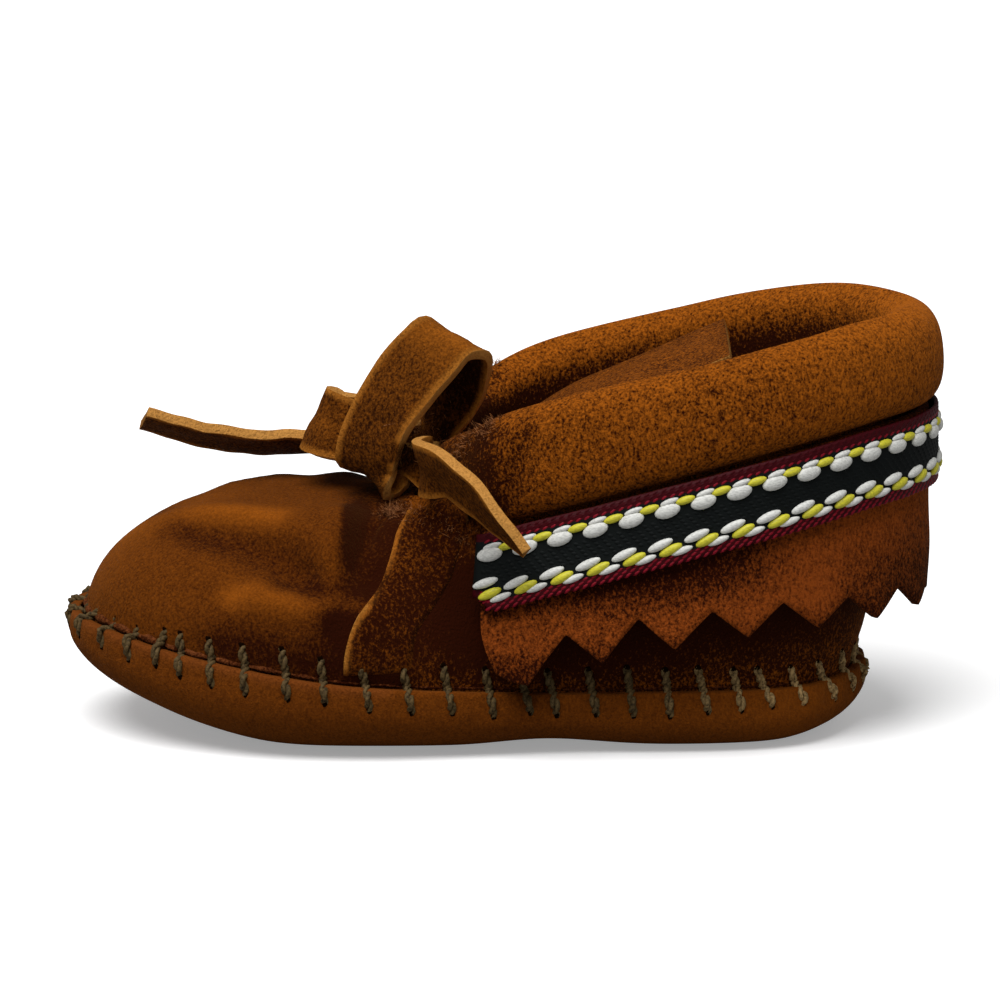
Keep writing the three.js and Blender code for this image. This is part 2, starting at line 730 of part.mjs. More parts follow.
// The bow, chosen by hand, in millimetres from the knot's middle; the last three columns are the
// way that the band's width runs
const BOW = {
  lace_loop_near: [
    // x y z wide_x wide_y wide_z
    [-6.6, -4.6, -2.2, 0.70, -0.45, -0.55],
    [-8.9, -6.8, -1.6, 0.82, -0.15, -0.52],
    [-8.4, -8.4, 2.0, 0.86, -0.05, -0.50],
    [-6.0, -9.0, 7.5, 0.87, 0.00, -0.49],
    [-3.0, -9.0, 13.2, 0.87, 0.00, -0.49],
    [0.1, -8.5, 17.6, 0.86, -0.05, -0.50],
    [3.4, -6.2, 19.4, 0.82, -0.30, -0.48],
    [6.0, -3.2, 16.4, 0.70, -0.62, -0.35],
    [6.2, -1.8, 11.6, 0.55, -0.80, -0.25],
    [4.8, -1.4, 8.0, 0.45, -0.88, -0.15],
    [2.6, -1.2, 5.4, 0.40, -0.90, -0.15],
  ],
  lace_loop_far: [
    [-6.6, 2.6, 2.2, 0.05, 0.10, 1.00],
    [-9.6, 4.2, 2.8, 0.05, 0.15, 1.00],
    [-13.6, 5.6, 3.6, 0.05, 0.20, 1.00],
    [-16.8, 5.4, 4.2, 0.15, 0.15, 1.00],
    [-18.2, 3.0, 4.4, 0.25, 0.00, 1.00],
    [-17.0, 0.9, 4.0, 0.25, -0.10, 1.00],
    [-13.6, -0.2, 3.4, 0.15, -0.10, 1.00],
    [-10.2, -0.6, 2.8, 0.05, -0.10, 1.00],
    [-6.8, -0.7, 2.2, 0.00, -0.10, 1.00],
  ],
  lace_end_near: [
    [-1.6, -19.6, 4.2, 0.75, 0.32, -0.55],
    [2.0, -24.8, 1.9, 0.67, 0.53, -0.47],
    [6.0, -29.6, -0.2, 0.67, 0.53, -0.47],
    [10.4, -32.4, -4.0, 0.66, 0.50, -0.50],
    [14.3, -33.8, -7.8, 0.66, 0.48, -0.52],
  ],  lace_end_far: [
    [-3.6, 7.8, 1.6, 0.60, -0.60, 0.40],
    [-8.4, 10.6, 0.8, 0.30, -0.80, 0.45],
    [-15.2, 11.6, -0.9, 0.00, -0.88, 0.47],
    [-20.0, 11.4, -1.3, 0.00, -0.88, 0.47],
    [-27.2, 11.0, -1.0, 0.00, -0.88, 0.47],
    [-34.7, 10.6, 0.3, 0.00, -0.88, 0.47],
    [-43.5, 10.0, 2.8, 0.00, -0.88, 0.47],
  ],
};

const knotMiddle = rimPoint(0).add(new THREE.Vector3(1.5, 0, knotSize.z / 2 + 1.2));

function makeBowPart(name) {
  const points = BOW[name].map(([x, y, z]) => new THREE.Vector3(x, y, z).add(knotMiddle));
  const ways = BOW[name].map((row) => new THREE.Vector3(row[3], row[4], row[5]));
  return makeBand(points, ways, points.map(() => laceWidth), laceThick);
}

function makeKnot() {
  const geometry = new THREE.SphereGeometry(0.5, 14, 9);
  geometry.deleteAttribute('normal');
  geometry.deleteAttribute('uv');
  const ball = mergeVertices(geometry, 1e-4);
  ball.scale(knotSize.x, knotSize.y, knotSize.z);
  ball.translate(knotMiddle.x, knotMiddle.y, knotMiddle.z);
  const points = [];
  const position = ball.getAttribute('position');
  for (let i = 0; i < position.count; i += 1) {
    points.push(new THREE.Vector3().fromBufferAttribute(position, i));
  }
  const index = Array.from(ball.getIndex().array);
  const faces = [];
  for (let i = 0; i < index.length; i += 3) faces.push(index.slice(i, i + 3));
  return closedGeometry(points, faces);
}

// Materials of the real pieces
const SUEDE = { color: 0x9a5a1e, roughness: 0.95, metalness: 0 };
const SOLE_SUEDE = { color: 0x8a4a1a, roughness: 0.95, metalness: 0 };
const LACE_SUEDE = { color: 0x8b5524, roughness: 0.9, metalness: 0 };
const BRAID = { color: 0x1d1f22, roughness: 0.7, metalness: 0 };

const moccasin = new THREE.Group();

function addPiece(name, geometry, look) {
  geometry.computeVertexNormals();
  const mesh = new THREE.Mesh(geometry, new THREE.MeshStandardMaterial(look));
  mesh.name = name;
  moccasin.add(mesh);
}

addPiece('sole', makeSole(), SOLE_SUEDE);
addPiece('insole', makeInsole(), SOLE_SUEDE);
addPiece('upper', makeUpper(), SUEDE);
addPiece('tongue', makeTongue(), SUEDE);
addPiece('cuff_flap', makeFlap(), SUEDE);
addPiece('braid_trim', makeBraid(), BRAID);
addPiece('lace_in_casing', makeLaceInCasing(), LACE_SUEDE);
addPiece('lace_knot', makeKnot(), LACE_SUEDE);
Object.keys(BOW).forEach((name) => addPiece(name, makeBowPart(name), LACE_SUEDE));

// The origin is under the middle of the shoe's box, on the floor; the free lace isn't counted
const box = new THREE.Box3();
moccasin.children.forEach((mesh) => {
  if (mesh.name in BOW || mesh.name === 'lace_knot') return;
  mesh.geometry.computeBoundingBox();
  box.union(mesh.geometry.boundingBox);
});
moccasin.position.set(-(box.min.x + box.max.x) / 2, -(box.min.y + box.max.y) / 2, -box.min.z);

export default moccasin;
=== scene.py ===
# %% [markdown]
# A baby's suede moccasin, dressed in Blender
#
# The solids of the shoe come in first, as a frame at their real size and place. Every cell after
# that dresses one piece of it: what the piece is on the real shoe, how it could be made, and why
# this way was chosen. Blender works in metres, and the shoe is small, so places and sizes are
# written in millimetres and scaled once by MM.

# %% The frame
import math

import bmesh
import bpy
import numpy as np
from mathutils import Matrix, Vector, noise
from mathutils.bvhtree import BVHTree


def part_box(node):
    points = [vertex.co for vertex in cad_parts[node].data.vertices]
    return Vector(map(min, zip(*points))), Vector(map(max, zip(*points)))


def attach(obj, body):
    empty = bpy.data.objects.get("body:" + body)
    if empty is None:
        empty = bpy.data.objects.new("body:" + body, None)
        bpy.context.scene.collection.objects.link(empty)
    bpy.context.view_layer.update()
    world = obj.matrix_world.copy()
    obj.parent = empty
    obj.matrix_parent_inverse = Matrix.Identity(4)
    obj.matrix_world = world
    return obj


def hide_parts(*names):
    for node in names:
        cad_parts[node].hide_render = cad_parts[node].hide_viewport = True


MM = 0.001

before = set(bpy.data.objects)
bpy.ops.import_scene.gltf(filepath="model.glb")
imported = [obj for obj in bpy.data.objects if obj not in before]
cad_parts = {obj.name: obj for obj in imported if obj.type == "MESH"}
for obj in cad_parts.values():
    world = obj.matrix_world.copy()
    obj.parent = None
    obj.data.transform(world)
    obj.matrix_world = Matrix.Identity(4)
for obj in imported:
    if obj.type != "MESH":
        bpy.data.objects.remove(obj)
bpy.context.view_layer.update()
print("solids:", ", ".join(sorted(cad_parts)))

# %% [markdown]
# The camera comes first, because the free lace is checked against what it sees. The photograph
# was taken from the shoe's near side, a little above the floor, with a long lens: the sole's far
# rim hardly shows and the collar's far half does. A thousand millimetres away with 6.66 pixels to
# the millimetre gives that perspective.

# %% Camera
PHOTO_WIDTH = 1000
PIXELS_PER_MM = 6.66
VIEW_DISTANCE = 1000 * MM
VIEW_ELEVATION = math.radians(12.5)
VIEW_TARGET = Vector((-0.55, 0, 33.7)) * MM


def make_camera():
    """The photograph's camera, looking along +Y and down a little."""
    data = bpy.data.cameras.new("camera")
    data.sensor_width = 36
    data.lens = data.sensor_width * VIEW_DISTANCE / (PHOTO_WIDTH / PIXELS_PER_MM * MM)
    data.clip_start, data.clip_end = 0.05, 20
    camera = bpy.data.objects.new("camera", data)
    back = Vector((0, -math.cos(VIEW_ELEVATION), math.sin(VIEW_ELEVATION)))
    camera.location = VIEW_TARGET + back * VIEW_DISTANCE
    camera.rotation_euler = (-back).to_track_quat("-Z", "Y").to_euler()
    bpy.context.collection.objects.link(camera)
    bpy.context.scene.camera = camera
    print("lens", round(data.lens, 1), "mm")


make_camera()

# %% [markdown]
# Suede is leather with its fibres raised. Close up it is a felt of short hairs: light where the
# tips catch the light, dark between them, brushed in patches that lie one way or the other. One
# node group makes that for every suede piece: a fine grain, longer streaks where the nap lies
# over, and broad brushed patches. It reads three values that the pieces carry on their vertices:
# a tone, which is mostly painted light and shade, lighter where a place would be lit and darker
# where shade falls, with some random change; worn, where an edge or crest is rubbed pale; and
# calm, where the grain shows less, because the nap is worn smooth or to keep painted shade even.

# %% Suede node group
def math_node(tree, operation, a, b=None, clamp=False):
    """A Math node with values or links on its inputs; returns its output."""
    node = tree.nodes.new("ShaderNodeMath")
    node.operation, node.use_clamp = operation, clamp
    for place, value in zip(node.inputs, (a, b)):
        if isinstance(value, (int, float)):
            place.default_value = value
        elif value is not None:
            tree.links.new(value, place)
    return node.outputs[0]


def weighed(tree, a, b, share):
    """Two values added, a by its share and b by the rest."""
    rest = math_node(tree, "MULTIPLY", b, 1 - share)
    return math_node(tree, "ADD", math_node(tree, "MULTIPLY", a, share), rest)


def mix_colour(tree, share, a, b, blend="MIX"):
    """A colour Mix node; returns its output."""
    node = tree.nodes.new("ShaderNodeMix")
    node.data_type, node.blend_type = "RGBA", blend
    for place, value in ((node.inputs[0], share), (node.inputs[6], a), (node.inputs[7], b)):
        if isinstance(value, (int, float, tuple)):
            place.default_value = value
        else:
            tree.links.new(value, place)
    return node.outputs[2]


def noise_node(tree, coordinates, scale, detail=3.0, rough=0.6, stretch=None):
    """A Noise texture's value, on coordinates that may be stretched along one way."""
    node = tree.nodes.new("ShaderNodeTexNoise")
    if stretch is not None:
        mapping = tree.nodes.new("ShaderNodeMapping")
        mapping.inputs["Rotation"].default_value = stretch[0]
        mapping.inputs["Scale"].default_value = stretch[1]
        tree.links.new(coordinates, mapping.inputs["Vector"])
        coordinates = mapping.outputs[0]
    tree.links.new(coordinates, node.inputs["Vector"])
    if isinstance(scale, (int, float)):
        node.inputs["Scale"].default_value = scale
    else:
        tree.links.new(scale, node.inputs["Scale"])
    node.inputs["Detail"].default_value = detail
    node.inputs["Roughness"].default_value = rough
    return node.outputs[0]


def spread(tree, value, low, high):
    """Stretches a value so that low becomes 0 and high becomes 1."""
    node = tree.nodes.new("ShaderNodeMapRange")
    tree.links.new(value, node.inputs["Value"])
    node.inputs["From Min"].default_value = low
    node.inputs["From Max"].default_value = high
    return node.outputs[0]


def vertex_value(tree, name):
    """A value that a piece carries on its vertices."""
    node = tree.nodes.new("ShaderNodeAttribute")
    node.attribute_name = name
    return node.outputs["Fac"]


def make_suede_group():
    """The nap of suede: its colour, its roughness and the height of its fibres."""
    group = bpy.data.node_groups.new("suede nap", "ShaderNodeTree")
    for name, kind, way in (("Light", "Color", "INPUT"), ("Dark", "Color", "INPUT"),
                            ("Worn", "Color", "INPUT"), ("Grain", "Float", "INPUT"),
                            ("Contrast", "Float", "INPUT"), ("Color", "Color", "OUTPUT"),
                            ("Roughness", "Float", "OUTPUT"), ("Height", "Float", "OUTPUT")):
        group.interface.new_socket(name=name, in_out=way, socket_type="NodeSocket" + kind)
    given = group.nodes.new("NodeGroupInput").outputs
    out = group.nodes.new("NodeGroupOutput").inputs
    place = group.nodes.new("ShaderNodeTexCoord").outputs["Object"]

    grain = noise_node(group, place, given["Grain"], 3.0, 0.7)
    leaning = ((0.3, 0.7, 0.4), (1.0, 1.0, 0.5))
    streaks = noise_node(group, place, 2300.0, 2.0, 0.6, leaning)
    mottle = noise_node(group, place, 420.0, 3.0, 0.6)
    patches = noise_node(group, place, 45.0, 2.0, 0.5)

    fibres = weighed(group, spread(group, grain, 0.34, 0.66), spread(group, streaks, 0.34, 0.66), 0.55)
    brushed = weighed(group, spread(group, mottle, 0.3, 0.7), spread(group, patches, 0.3, 0.7), 0.55)
    lit = weighed(group, fibres, brushed, 0.8)
    around = math_node(group, "SUBTRACT", lit, 0.5)
    around = math_node(group, "MULTIPLY", around, given["Contrast"])
    rough_nap = math_node(group, "SUBTRACT", 1.0, vertex_value(group, "calm"))
    around = math_node(group, "MULTIPLY", around, rough_nap)
    # The tone is mostly painted light and shade: it moves the share of the light colour.
    tone_and_painted_light = vertex_value(group, "tone_and_painted_light")
    share = math_node(group, "ADD", math_node(group, "ADD", around, 0.5), tone_and_painted_light, True)
    colour = mix_colour(group, share, given["Dark"], given["Light"])
    fray = math_node(group, "MULTIPLY_ADD", fibres, 0.9)
    group.nodes[-1].inputs[2].default_value = 0.35
    worn = math_node(group, "MULTIPLY", vertex_value(group, "worn"), fray, True)
    group.links.new(mix_colour(group, worn, colour, given["Worn"]), out["Color"])
    group.links.new(math_node(group, "SUBTRACT", 1.0, math_node(group, "MULTIPLY", brushed, 0.12)),
                    out["Roughness"])
    group.links.new(fibres, out["Height"])
    return group


SUEDE_NAP = make_suede_group()

# %% [markdown]
# Each suede material places the group with its own colours. The shader itself stays in the
# material: rough, hardly shiny, and with the soft sheen of fibres that stand up and catch light
# along the shoe's outline.

# %% Suede materials
def new_material(name):
    """A material with only a shader; returns the material, its tree and its shader."""
    material = bpy.data.materials.new(name)
    material.use_nodes = True
    tree = material.node_tree
    return material, tree, tree.nodes["Principled BSDF"]


def add_bump(tree, shader, height, depth):
    """Feeds a height in to the shader's normal; depth is in metres."""
    bump = tree.nodes.new("ShaderNodeBump")
    bump.inputs["Strength"].default_value = 1.0
    bump.inputs["Distance"].default_value = depth
    tree.links.new(height, bump.inputs["Height"])
    tree.links.new(bump.outputs[0], shader.inputs["Normal"])


def suede(name, light, dark, worn, grain=2700.0, contrast=1.0, depth=0.22, sheen=0.28):
    """A suede with its own colours, from the one group."""
    material, tree, shader = new_material(name)
    nap = tree.nodes.new("ShaderNodeGroup")
    nap.node_tree = SUEDE_NAP
    nap.inputs["Light"].default_value = (*light, 1)
    nap.inputs["Dark"].default_value = (*dark, 1)
    nap.inputs["Worn"].default_value = (*worn, 1)
    nap.inputs["Grain"].default_value = grain
    nap.inputs["Contrast"].default_value = contrast
    tree.links.new(nap.outputs["Color"], shader.inputs["Base Color"])
    tree.links.new(nap.outputs["Roughness"], shader.inputs["Roughness"])
    add_bump(tree, shader, nap.outputs["Height"], depth * MM)
    shader.inputs["Specular IOR Level"].default_value = 0.04
    shader.inputs["Sheen Weight"].default_value = sheen
    shader.inputs["Sheen Roughness"].default_value = 0.45
    shader.inputs["Sheen Tint"].default_value = (1.0, 0.42, 0.1, 1)
    return material


GOLDEN = (0.42, 0.17, 0.028)
UPPER_SUEDE = suede("golden suede", (0.38, 0.1, 0.006), (0.024, 0.0035, 0.0004), GOLDEN, contrast=1.7,
                    depth=0.2, sheen=0.06)
SOLE_SUEDE = suede("sole suede", (0.21, 0.054, 0.004), (0.038, 0.007, 0.0007), (0.22, 0.06, 0.015),
                   grain=3400.0, contrast=1.1, depth=0.18, sheen=0.06)
FLAP_SUEDE = suede("flap suede", (0.3, 0.064, 0.008), (0.022, 0.003, 0.0006), (0.34, 0.11, 0.02),
                   contrast=1.6, depth=0.2, sheen=0.05)
LACE_SUEDE = suede("lace suede", (0.37, 0.108, 0.008), (0.024, 0.005, 0.0006), (0.42, 0.18, 0.03),
                   contrast=0.8, depth=0.2, sheen=0.05)
CUT_EDGE = suede("cut edge of suede", (0.74, 0.36, 0.085), (0.14, 0.048, 0.008), (0.5, 0.22, 0.05),
                 grain=3000.0, contrast=1.1, depth=0.2, sheen=0.08)
FRAYED = suede("frayed fibres", (0.38, 0.15, 0.055), (0.026, 0.006, 0.002), (0.4, 0.2, 0.1),
               grain=900.0, contrast=2.4, depth=0.05, sheen=0.03)
LIP_SUEDE = suede("cut rim of the sole", (0.18, 0.052, 0.014), (0.035, 0.006, 0.001), (0.4, 0.15, 0.04),
                  grain=1900.0, contrast=1.8, depth=0.3, sheen=0.03)
LINING = suede("split leather lining", (0.2, 0.08, 0.02), (0.06, 0.02, 0.005), (0.3, 0.14, 0.05),
               grain=2400.0, depth=0.1, sheen=0.06)
print("suedes:", UPPER_SUEDE.name, SOLE_SUEDE.name, FLAP_SUEDE.name, LACE_SUEDE.name)

# %% [markdown]
# The lace is a flat strip, 9 mm wide, cut from the same suede. One strip runs through the collar
# and its two halves come out of the collar's mouths and are tied in a bow, so there are two free
# cords: each runs from its mouth into the knot, makes its loop, passes through the knot again and
# ends loose. A tube would be round; a strip needs a way that its width runs at every point, so the
# rows below give both, measured from the knot's middle. They stay within about 2 mm of the solids'
# points: the loops are only turned to lie as they do in the photograph.

# %% Lace: the routes
LACE_WIDTH = 9 * MM
LACE_THICK = 1.5 * MM

# x y z in millimetres, then the way of the width
NEAR_ROUTE = [
    (0.4, -8.5, -0.8, 0.1, 0.2, 1.0),
    (-2.6, -6.2, -0.6, 0.3, 0.3, 0.9),
    (-4.6, -3.4, -0.4, 0.6, -0.2, 0.6),
    (-6.6, -4.6, -2.2, 0.70, -0.45, -0.55),
    (-9.3, -6.8, -1.8, 0.82, -0.15, -0.52),
    (-9.2, -8.4, 2.0, 0.74, -0.45, -0.46),
    (-6.9, -8.8, 7.5, 0.68, -0.60, -0.40),
    (-3.4, -8.6, 12.8, 0.67, -0.63, -0.38),
    (-0.2, -8.1, 16.4, 0.69, -0.60, -0.40),
    (2.2, -6.4, 18.4, 0.74, -0.56, -0.36),
    (4.6, -3.4, 16.8, 0.80, -0.52, -0.30),
    (4.2, -1.6, 11.6, 0.86, -0.48, -0.15),
    (3.0, -1.2, 8.0, 0.88, -0.46, -0.10),
    (1.6, -1.6, 4.0, 0.78, -0.60, -0.12),
    (0.6, -3.6, 1.2, 0.66, -0.36, -0.56),
    (0.0, -7.6, 0.4, 0.40, 0.25, -0.78),
    (-0.3, -13.0, 0.9, 0.10, 0.50, -0.80),
    (-0.7, -19.6, 1.6, 0.02, 0.64, -0.75),
    (2.0, -24.8, 2.0, -0.05, 0.75, -0.65),
    (6.0, -29.6, 0.0, -0.10, 0.80, -0.60),
    (10.4, -32.4, -4.0, -0.05, 0.85, -0.50),
    (14.3, -33.8, -7.8, 0.05, 0.90, -0.40),
]
FAR_ROUTE = [
    (0.4, 8.5, -0.8, 0.1, -0.2, 1.0),
    (-2.0, 6.0, -0.2, 0.2, -0.2, 1.0),
    (-3.6, 3.6, 1.0, 0.1, 0.0, 1.0),
    (-6.6, 2.6, 2.2, 0.05, 0.10, 1.00),
    (-9.6, 4.2, 2.8, 0.05, -0.20, 1.00),
    (-13.6, 5.6, 3.6, 0.05, -0.42, 0.92),
    (-15.8, 5.4, 4.2, 0.26, -0.38, 0.88),
    (-17.0, 3.0, 4.4, 0.42, 0.00, 0.90),
    (-15.9, 0.9, 4.0, 0.30, 0.35, 0.88),
    (-13.6, -0.2, 3.4, 0.15, 0.42, 0.90),
    (-10.2, -0.6, 2.8, 0.05, 0.25, 0.97),
    (-6.8, -0.7, 2.2, 0.00, -0.10, 1.00),
    (-3.0, 0.6, 1.6, 0.10, -0.30, 0.90),
    (-1.6, 4.0, 1.6, 0.50, -0.50, 0.60),
    (-3.6, 7.8, 1.6, 0.60, -0.60, 0.40),
    (-8.4, 10.6, 0.8, 0.30, -0.80, 0.45),
    (-15.2, 11.6, -0.9, 0.00, -0.88, 0.47),
    (-20.0, 11.4, -1.3, 0.00, -0.88, 0.47),
    (-27.2, 11.0, -1.0, 0.00, -0.88, 0.47),
    (-34.7, 10.6, 0.3, 0.00, -0.88, 0.47),
    (-43.5, 10.0, 2.8, 0.00, -0.88, 0.47),
]


def through(rows, spacing):
    """Rows of numbers joined by one smooth curve, resampled at even spacing in metres."""
    rows = np.asarray(rows, float)
    fine = []
    for i in range(len(rows) - 1):
        a, b, c, d = (rows[min(max(k, 0), len(rows) - 1)] for k in (i - 1, i, i + 1, i + 2))
        for t in np.linspace(0, 1, 12, endpoint=i == len(rows) - 2):
            bent = t * (2 * a - 5 * b + 4 * c - d + t * (3 * (b - c) + d - a))
            fine.append(b + 0.5 * t * (c - a + bent))
    fine = np.array(fine)
    runs = np.r_[0, np.cumsum(np.linalg.norm(np.diff(fine[:, :3], axis=0), axis=1))]
    places = np.linspace(0, runs[-1], max(2, round(runs[-1] / spacing)) + 1)
    return np.stack([np.interp(places, runs, column) for column in fine.T], 1), runs[-1]


def finished(name, bm, *materials):
    """Makes a piece from a bmesh; it rides on the shoe."""
    mesh = bpy.data.meshes.new(name)
    bm.to_mesh(mesh)
    bm.free()
    for material in materials:
        mesh.materials.append(material)
    mesh.polygons.foreach_set("use_smooth", [True] * len(mesh.polygons))
    piece = bpy.data.objects.new(name, mesh)
    bpy.context.collection.objects.link(piece)
    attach(piece, "root")
    return piece


def applied(piece):
    """Turns a piece's modifiers into plain mesh."""
    depsgraph = bpy.context.evaluated_depsgraph_get()
    mesh = bpy.data.meshes.new_from_object(piece.evaluated_get(depsgraph))
    piece.modifiers.clear()
    piece.data = mesh
    return piece


def subdivided(piece, levels):
    """Rounds a piece with Subdivision Surface, applied."""
    soft = piece.modifiers.new("round", "SUBSURF")
    soft.levels = soft.render_levels = levels
    return applied(piece)


def carry(piece, name, values):
    """Gives every vertex of a piece a value that its material can read."""
    layer = piece.data.attributes.get(name) or piece.data.attributes.new(name, "FLOAT", "POINT")
    layer.data.foreach_set("value", np.asarray(values, np.float32))


def places_of(piece):
    """All vertices of a piece, in millimetres."""
    flat = np.empty(len(piece.data.vertices) * 3, np.float32)
    piece.data.vertices.foreach_get("co", flat)
    return flat.reshape(-1, 3).astype(float) / MM


def normals_of(piece):
    """The way out of the leather at all vertices of a piece."""
    flat = np.empty(len(piece.data.vertices) * 3, np.float32)
    piece.data.vertex_normals.foreach_get("vector", flat)
    return flat.reshape(-1, 3).astype(float)


def put(piece, places):
    """Writes vertices given in millimetres back in to a piece."""
    piece.data.vertices.foreach_set("co", (places * MM).astype(np.float32).ravel())
    piece.data.update()


def ripple(places, size, seed=0.0):
    """Smooth noise between -1 and 1 at each place; size is that of its lumps, in millimetres."""
    shift = Vector((seed, 2.3 * seed, -1.7 * seed))
    return np.array([noise.noise(Vector(p) / size + shift) for p in places])


# %% [markdown]
# A strip is a flat grid, bent: its long side follows the route and its short side the way of the
# width. Solidify gives it the leather's thickness, with its own material on the rim, because a cut
# edge of suede is paler than its faces. The strip isn't a machine part: its width wanders, its
# faces cup a little and its edges curl.

# %% Lace: the strips
KNOT_MIDDLE = (Vector(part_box("lace_knot")[0]) + Vector(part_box("lace_knot")[1])) / 2 / MM
STRIP_STEP = 0.9
WANDER, CUP, LUMP = 0.03, 1.0, 0.35


def strip(name, rows, squeeze, seed):
    """A flat suede strip along rows of a route, in millimetres.

    Each squeeze is a place along the route, its reach and the share of the width left there.
    """
    path, length = through(rows, STRIP_STEP)
    along = np.gradient(path[:, :3], axis=0)
    along /= np.linalg.norm(along, axis=1)[:, None]
    way = path[:, 3:] - along * (path[:, 3:] * along).sum(1)[:, None]
    way /= np.linalg.norm(way, axis=1)[:, None]
    face = np.cross(along, way)
    runs = np.linspace(0, length, len(path))
    widths = np.full(len(path), LACE_WIDTH / MM)
    for at, reach, share in squeeze:
        widths *= 1 - (1 - share) * np.exp(-(((runs - at) / reach) ** 2))
    bm = bmesh.new()
    across = 8
    layer = bm.loops.layers.uv.new("strip")
    bmesh.ops.create_grid(bm, x_segments=len(path) - 1, y_segments=across, size=0.5)
    bm.verts.ensure_lookup_table()
    for vert in bm.verts:
        i = round((vert.co.x + 0.5) * (len(path) - 1))
        v = vert.co.y * 2
        edge = widths[i] / 2 * (1 + WANDER * noise.noise(Vector((runs[i] / 9, seed, v))))
        bend = CUP * (v * v - 0.4) * noise.noise(Vector((runs[i] / 12, seed + 5, 0)))
        lump = LUMP * noise.noise(Vector((runs[i] / 4, v * 1.5, seed + 9)))
        point = path[i, :3] + way[i] * v * edge + face[i] * (bend + lump)
        vert.co = Vector(point) * MM
        for loop in vert.link_loops:
            loop[layer].uv = (runs[i] * MM, v * edge * MM)
    piece = finished(name, bm, LACE_SUEDE, CUT_EDGE)
    wall = piece.modifiers.new("leather", "SOLIDIFY")
    wall.thickness, wall.offset = LACE_THICK, 0
    wall.material_offset_rim = 1
    round_edge = piece.modifiers.new("edge", "BEVEL")
    round_edge.width, round_edge.segments = 0.22 * MM, 2
    round_edge.limit_method, round_edge.angle_limit = "ANGLE", math.radians(50)
    applied(piece)
    places = places_of(piece)
    nearest = np.array([int(np.argmin(((path[:, :3] - p) ** 2).sum(1))) for p in places])
    offset = places - path[nearest, :3]
    side = (offset * face[nearest]).sum(1)
    rim = np.abs((offset * way[nearest]).sum(1)) > 0.92 * widths[nearest] / 2
    return piece, [tuple(Vector(p) * MM) for p in path[:, :3]], length * MM, (nearest, side, face, rim)


def from_knot(route):
    """A route's rows in the shoe's frame, in millimetres."""
    return [(*(KNOT_MIDDLE + Vector(row[:3])), *row[3:]) for row in route]


near_lace, near_path, near_length, near_sides = strip(
    "lace_near_half", from_knot(NEAR_ROUTE),
    squeeze=((5.0, 4.0, 0.45), (32.0, 15.0, 1.28), (62.5, 6.5, 0.42), (105.0, 8.0, 0.5)), seed=1.0)
far_lace, far_path, far_length, far_sides = strip(
    "lace_far_half", from_knot(FAR_ROUTE),
    squeeze=((5.0, 4.0, 0.45), (24.0, 8.0, 1.12), (38.0, 5.0, 0.5)), seed=4.0)


def shade_lace(piece, path, sides, middle, first, last, amount):
    """Paints light and shade on the strip: a loop runs from point first to point last of the path.

    Its face that looks at its middle gets amount of painted shade; elsewhere faces that look up get
    a painted highlight and the rest painted shade, and the folds at the knot painted shade too.
    """
    nearest, side, face, rim = sides
    inward = np.asarray(middle) - np.asarray(path) / MM
    inner = np.sign(np.median((face * inward).sum(1)[first:last]))
    in_loop = np.clip((nearest - first) / 4, 0, 1) * np.clip((last - nearest) / 4, 0, 1)
    inside = in_loop * (side * inner > 0.1)
    upward = np.clip(normals_of(piece)[:, 2], 0, 1)
    at_knot = np.exp(-((np.linalg.norm(places_of(piece) - np.array(KNOT_MIDDLE), axis=1) / 6.0) ** 2))
    # Painted light on faces that look up, painted shade on the others, inside the loop and at the knot;
    # the rim's pale edge fades at the knot.
    tone_and_painted_light = (0.6 * upward**2 - 0.36) * (1 - inside) + amount * inside - 0.4 * at_knot
    edge = 0.4 - 0.4 * upward - 0.3 * at_knot
    carry(piece, "tone_and_painted_light", np.where(rim, edge, tone_and_painted_light))
    carry(piece, "worn", np.where(rim, 0.5 * (1 - at_knot), 0.0))


# The middles of the loops, round which each loop's inside face gets painted shade.
NEAR_LOOP_MIDDLE = tuple(KNOT_MIDDLE + Vector((0.5, -5.5, 10.0)))
FAR_LOOP_MIDDLE = tuple(KNOT_MIDDLE + Vector((-13.0, 2.6, 3.2)))
shade_lace(near_lace, near_path, near_sides, NEAR_LOOP_MIDDLE, first=14, last=60, amount=-0.55)
shade_lace(far_lace, far_path, far_sides, FAR_LOOP_MIDDLE, first=10, last=42, amount=-0.45)
print("lace halves:", round(near_length / MM), "and", round(far_length / MM), "mm")

# %% [markdown]
# The knot is the same strip, wrapped once round the crossing laces and pulled tight, so it bulges
# between creased edges. It is a closed band: a grid wrapped round an oval, with its middle swollen
# and a few creases along it.

# %% Lace: the knot
KNOT_LOW, KNOT_HIGH = (Vector(c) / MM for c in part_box("lace_knot"))


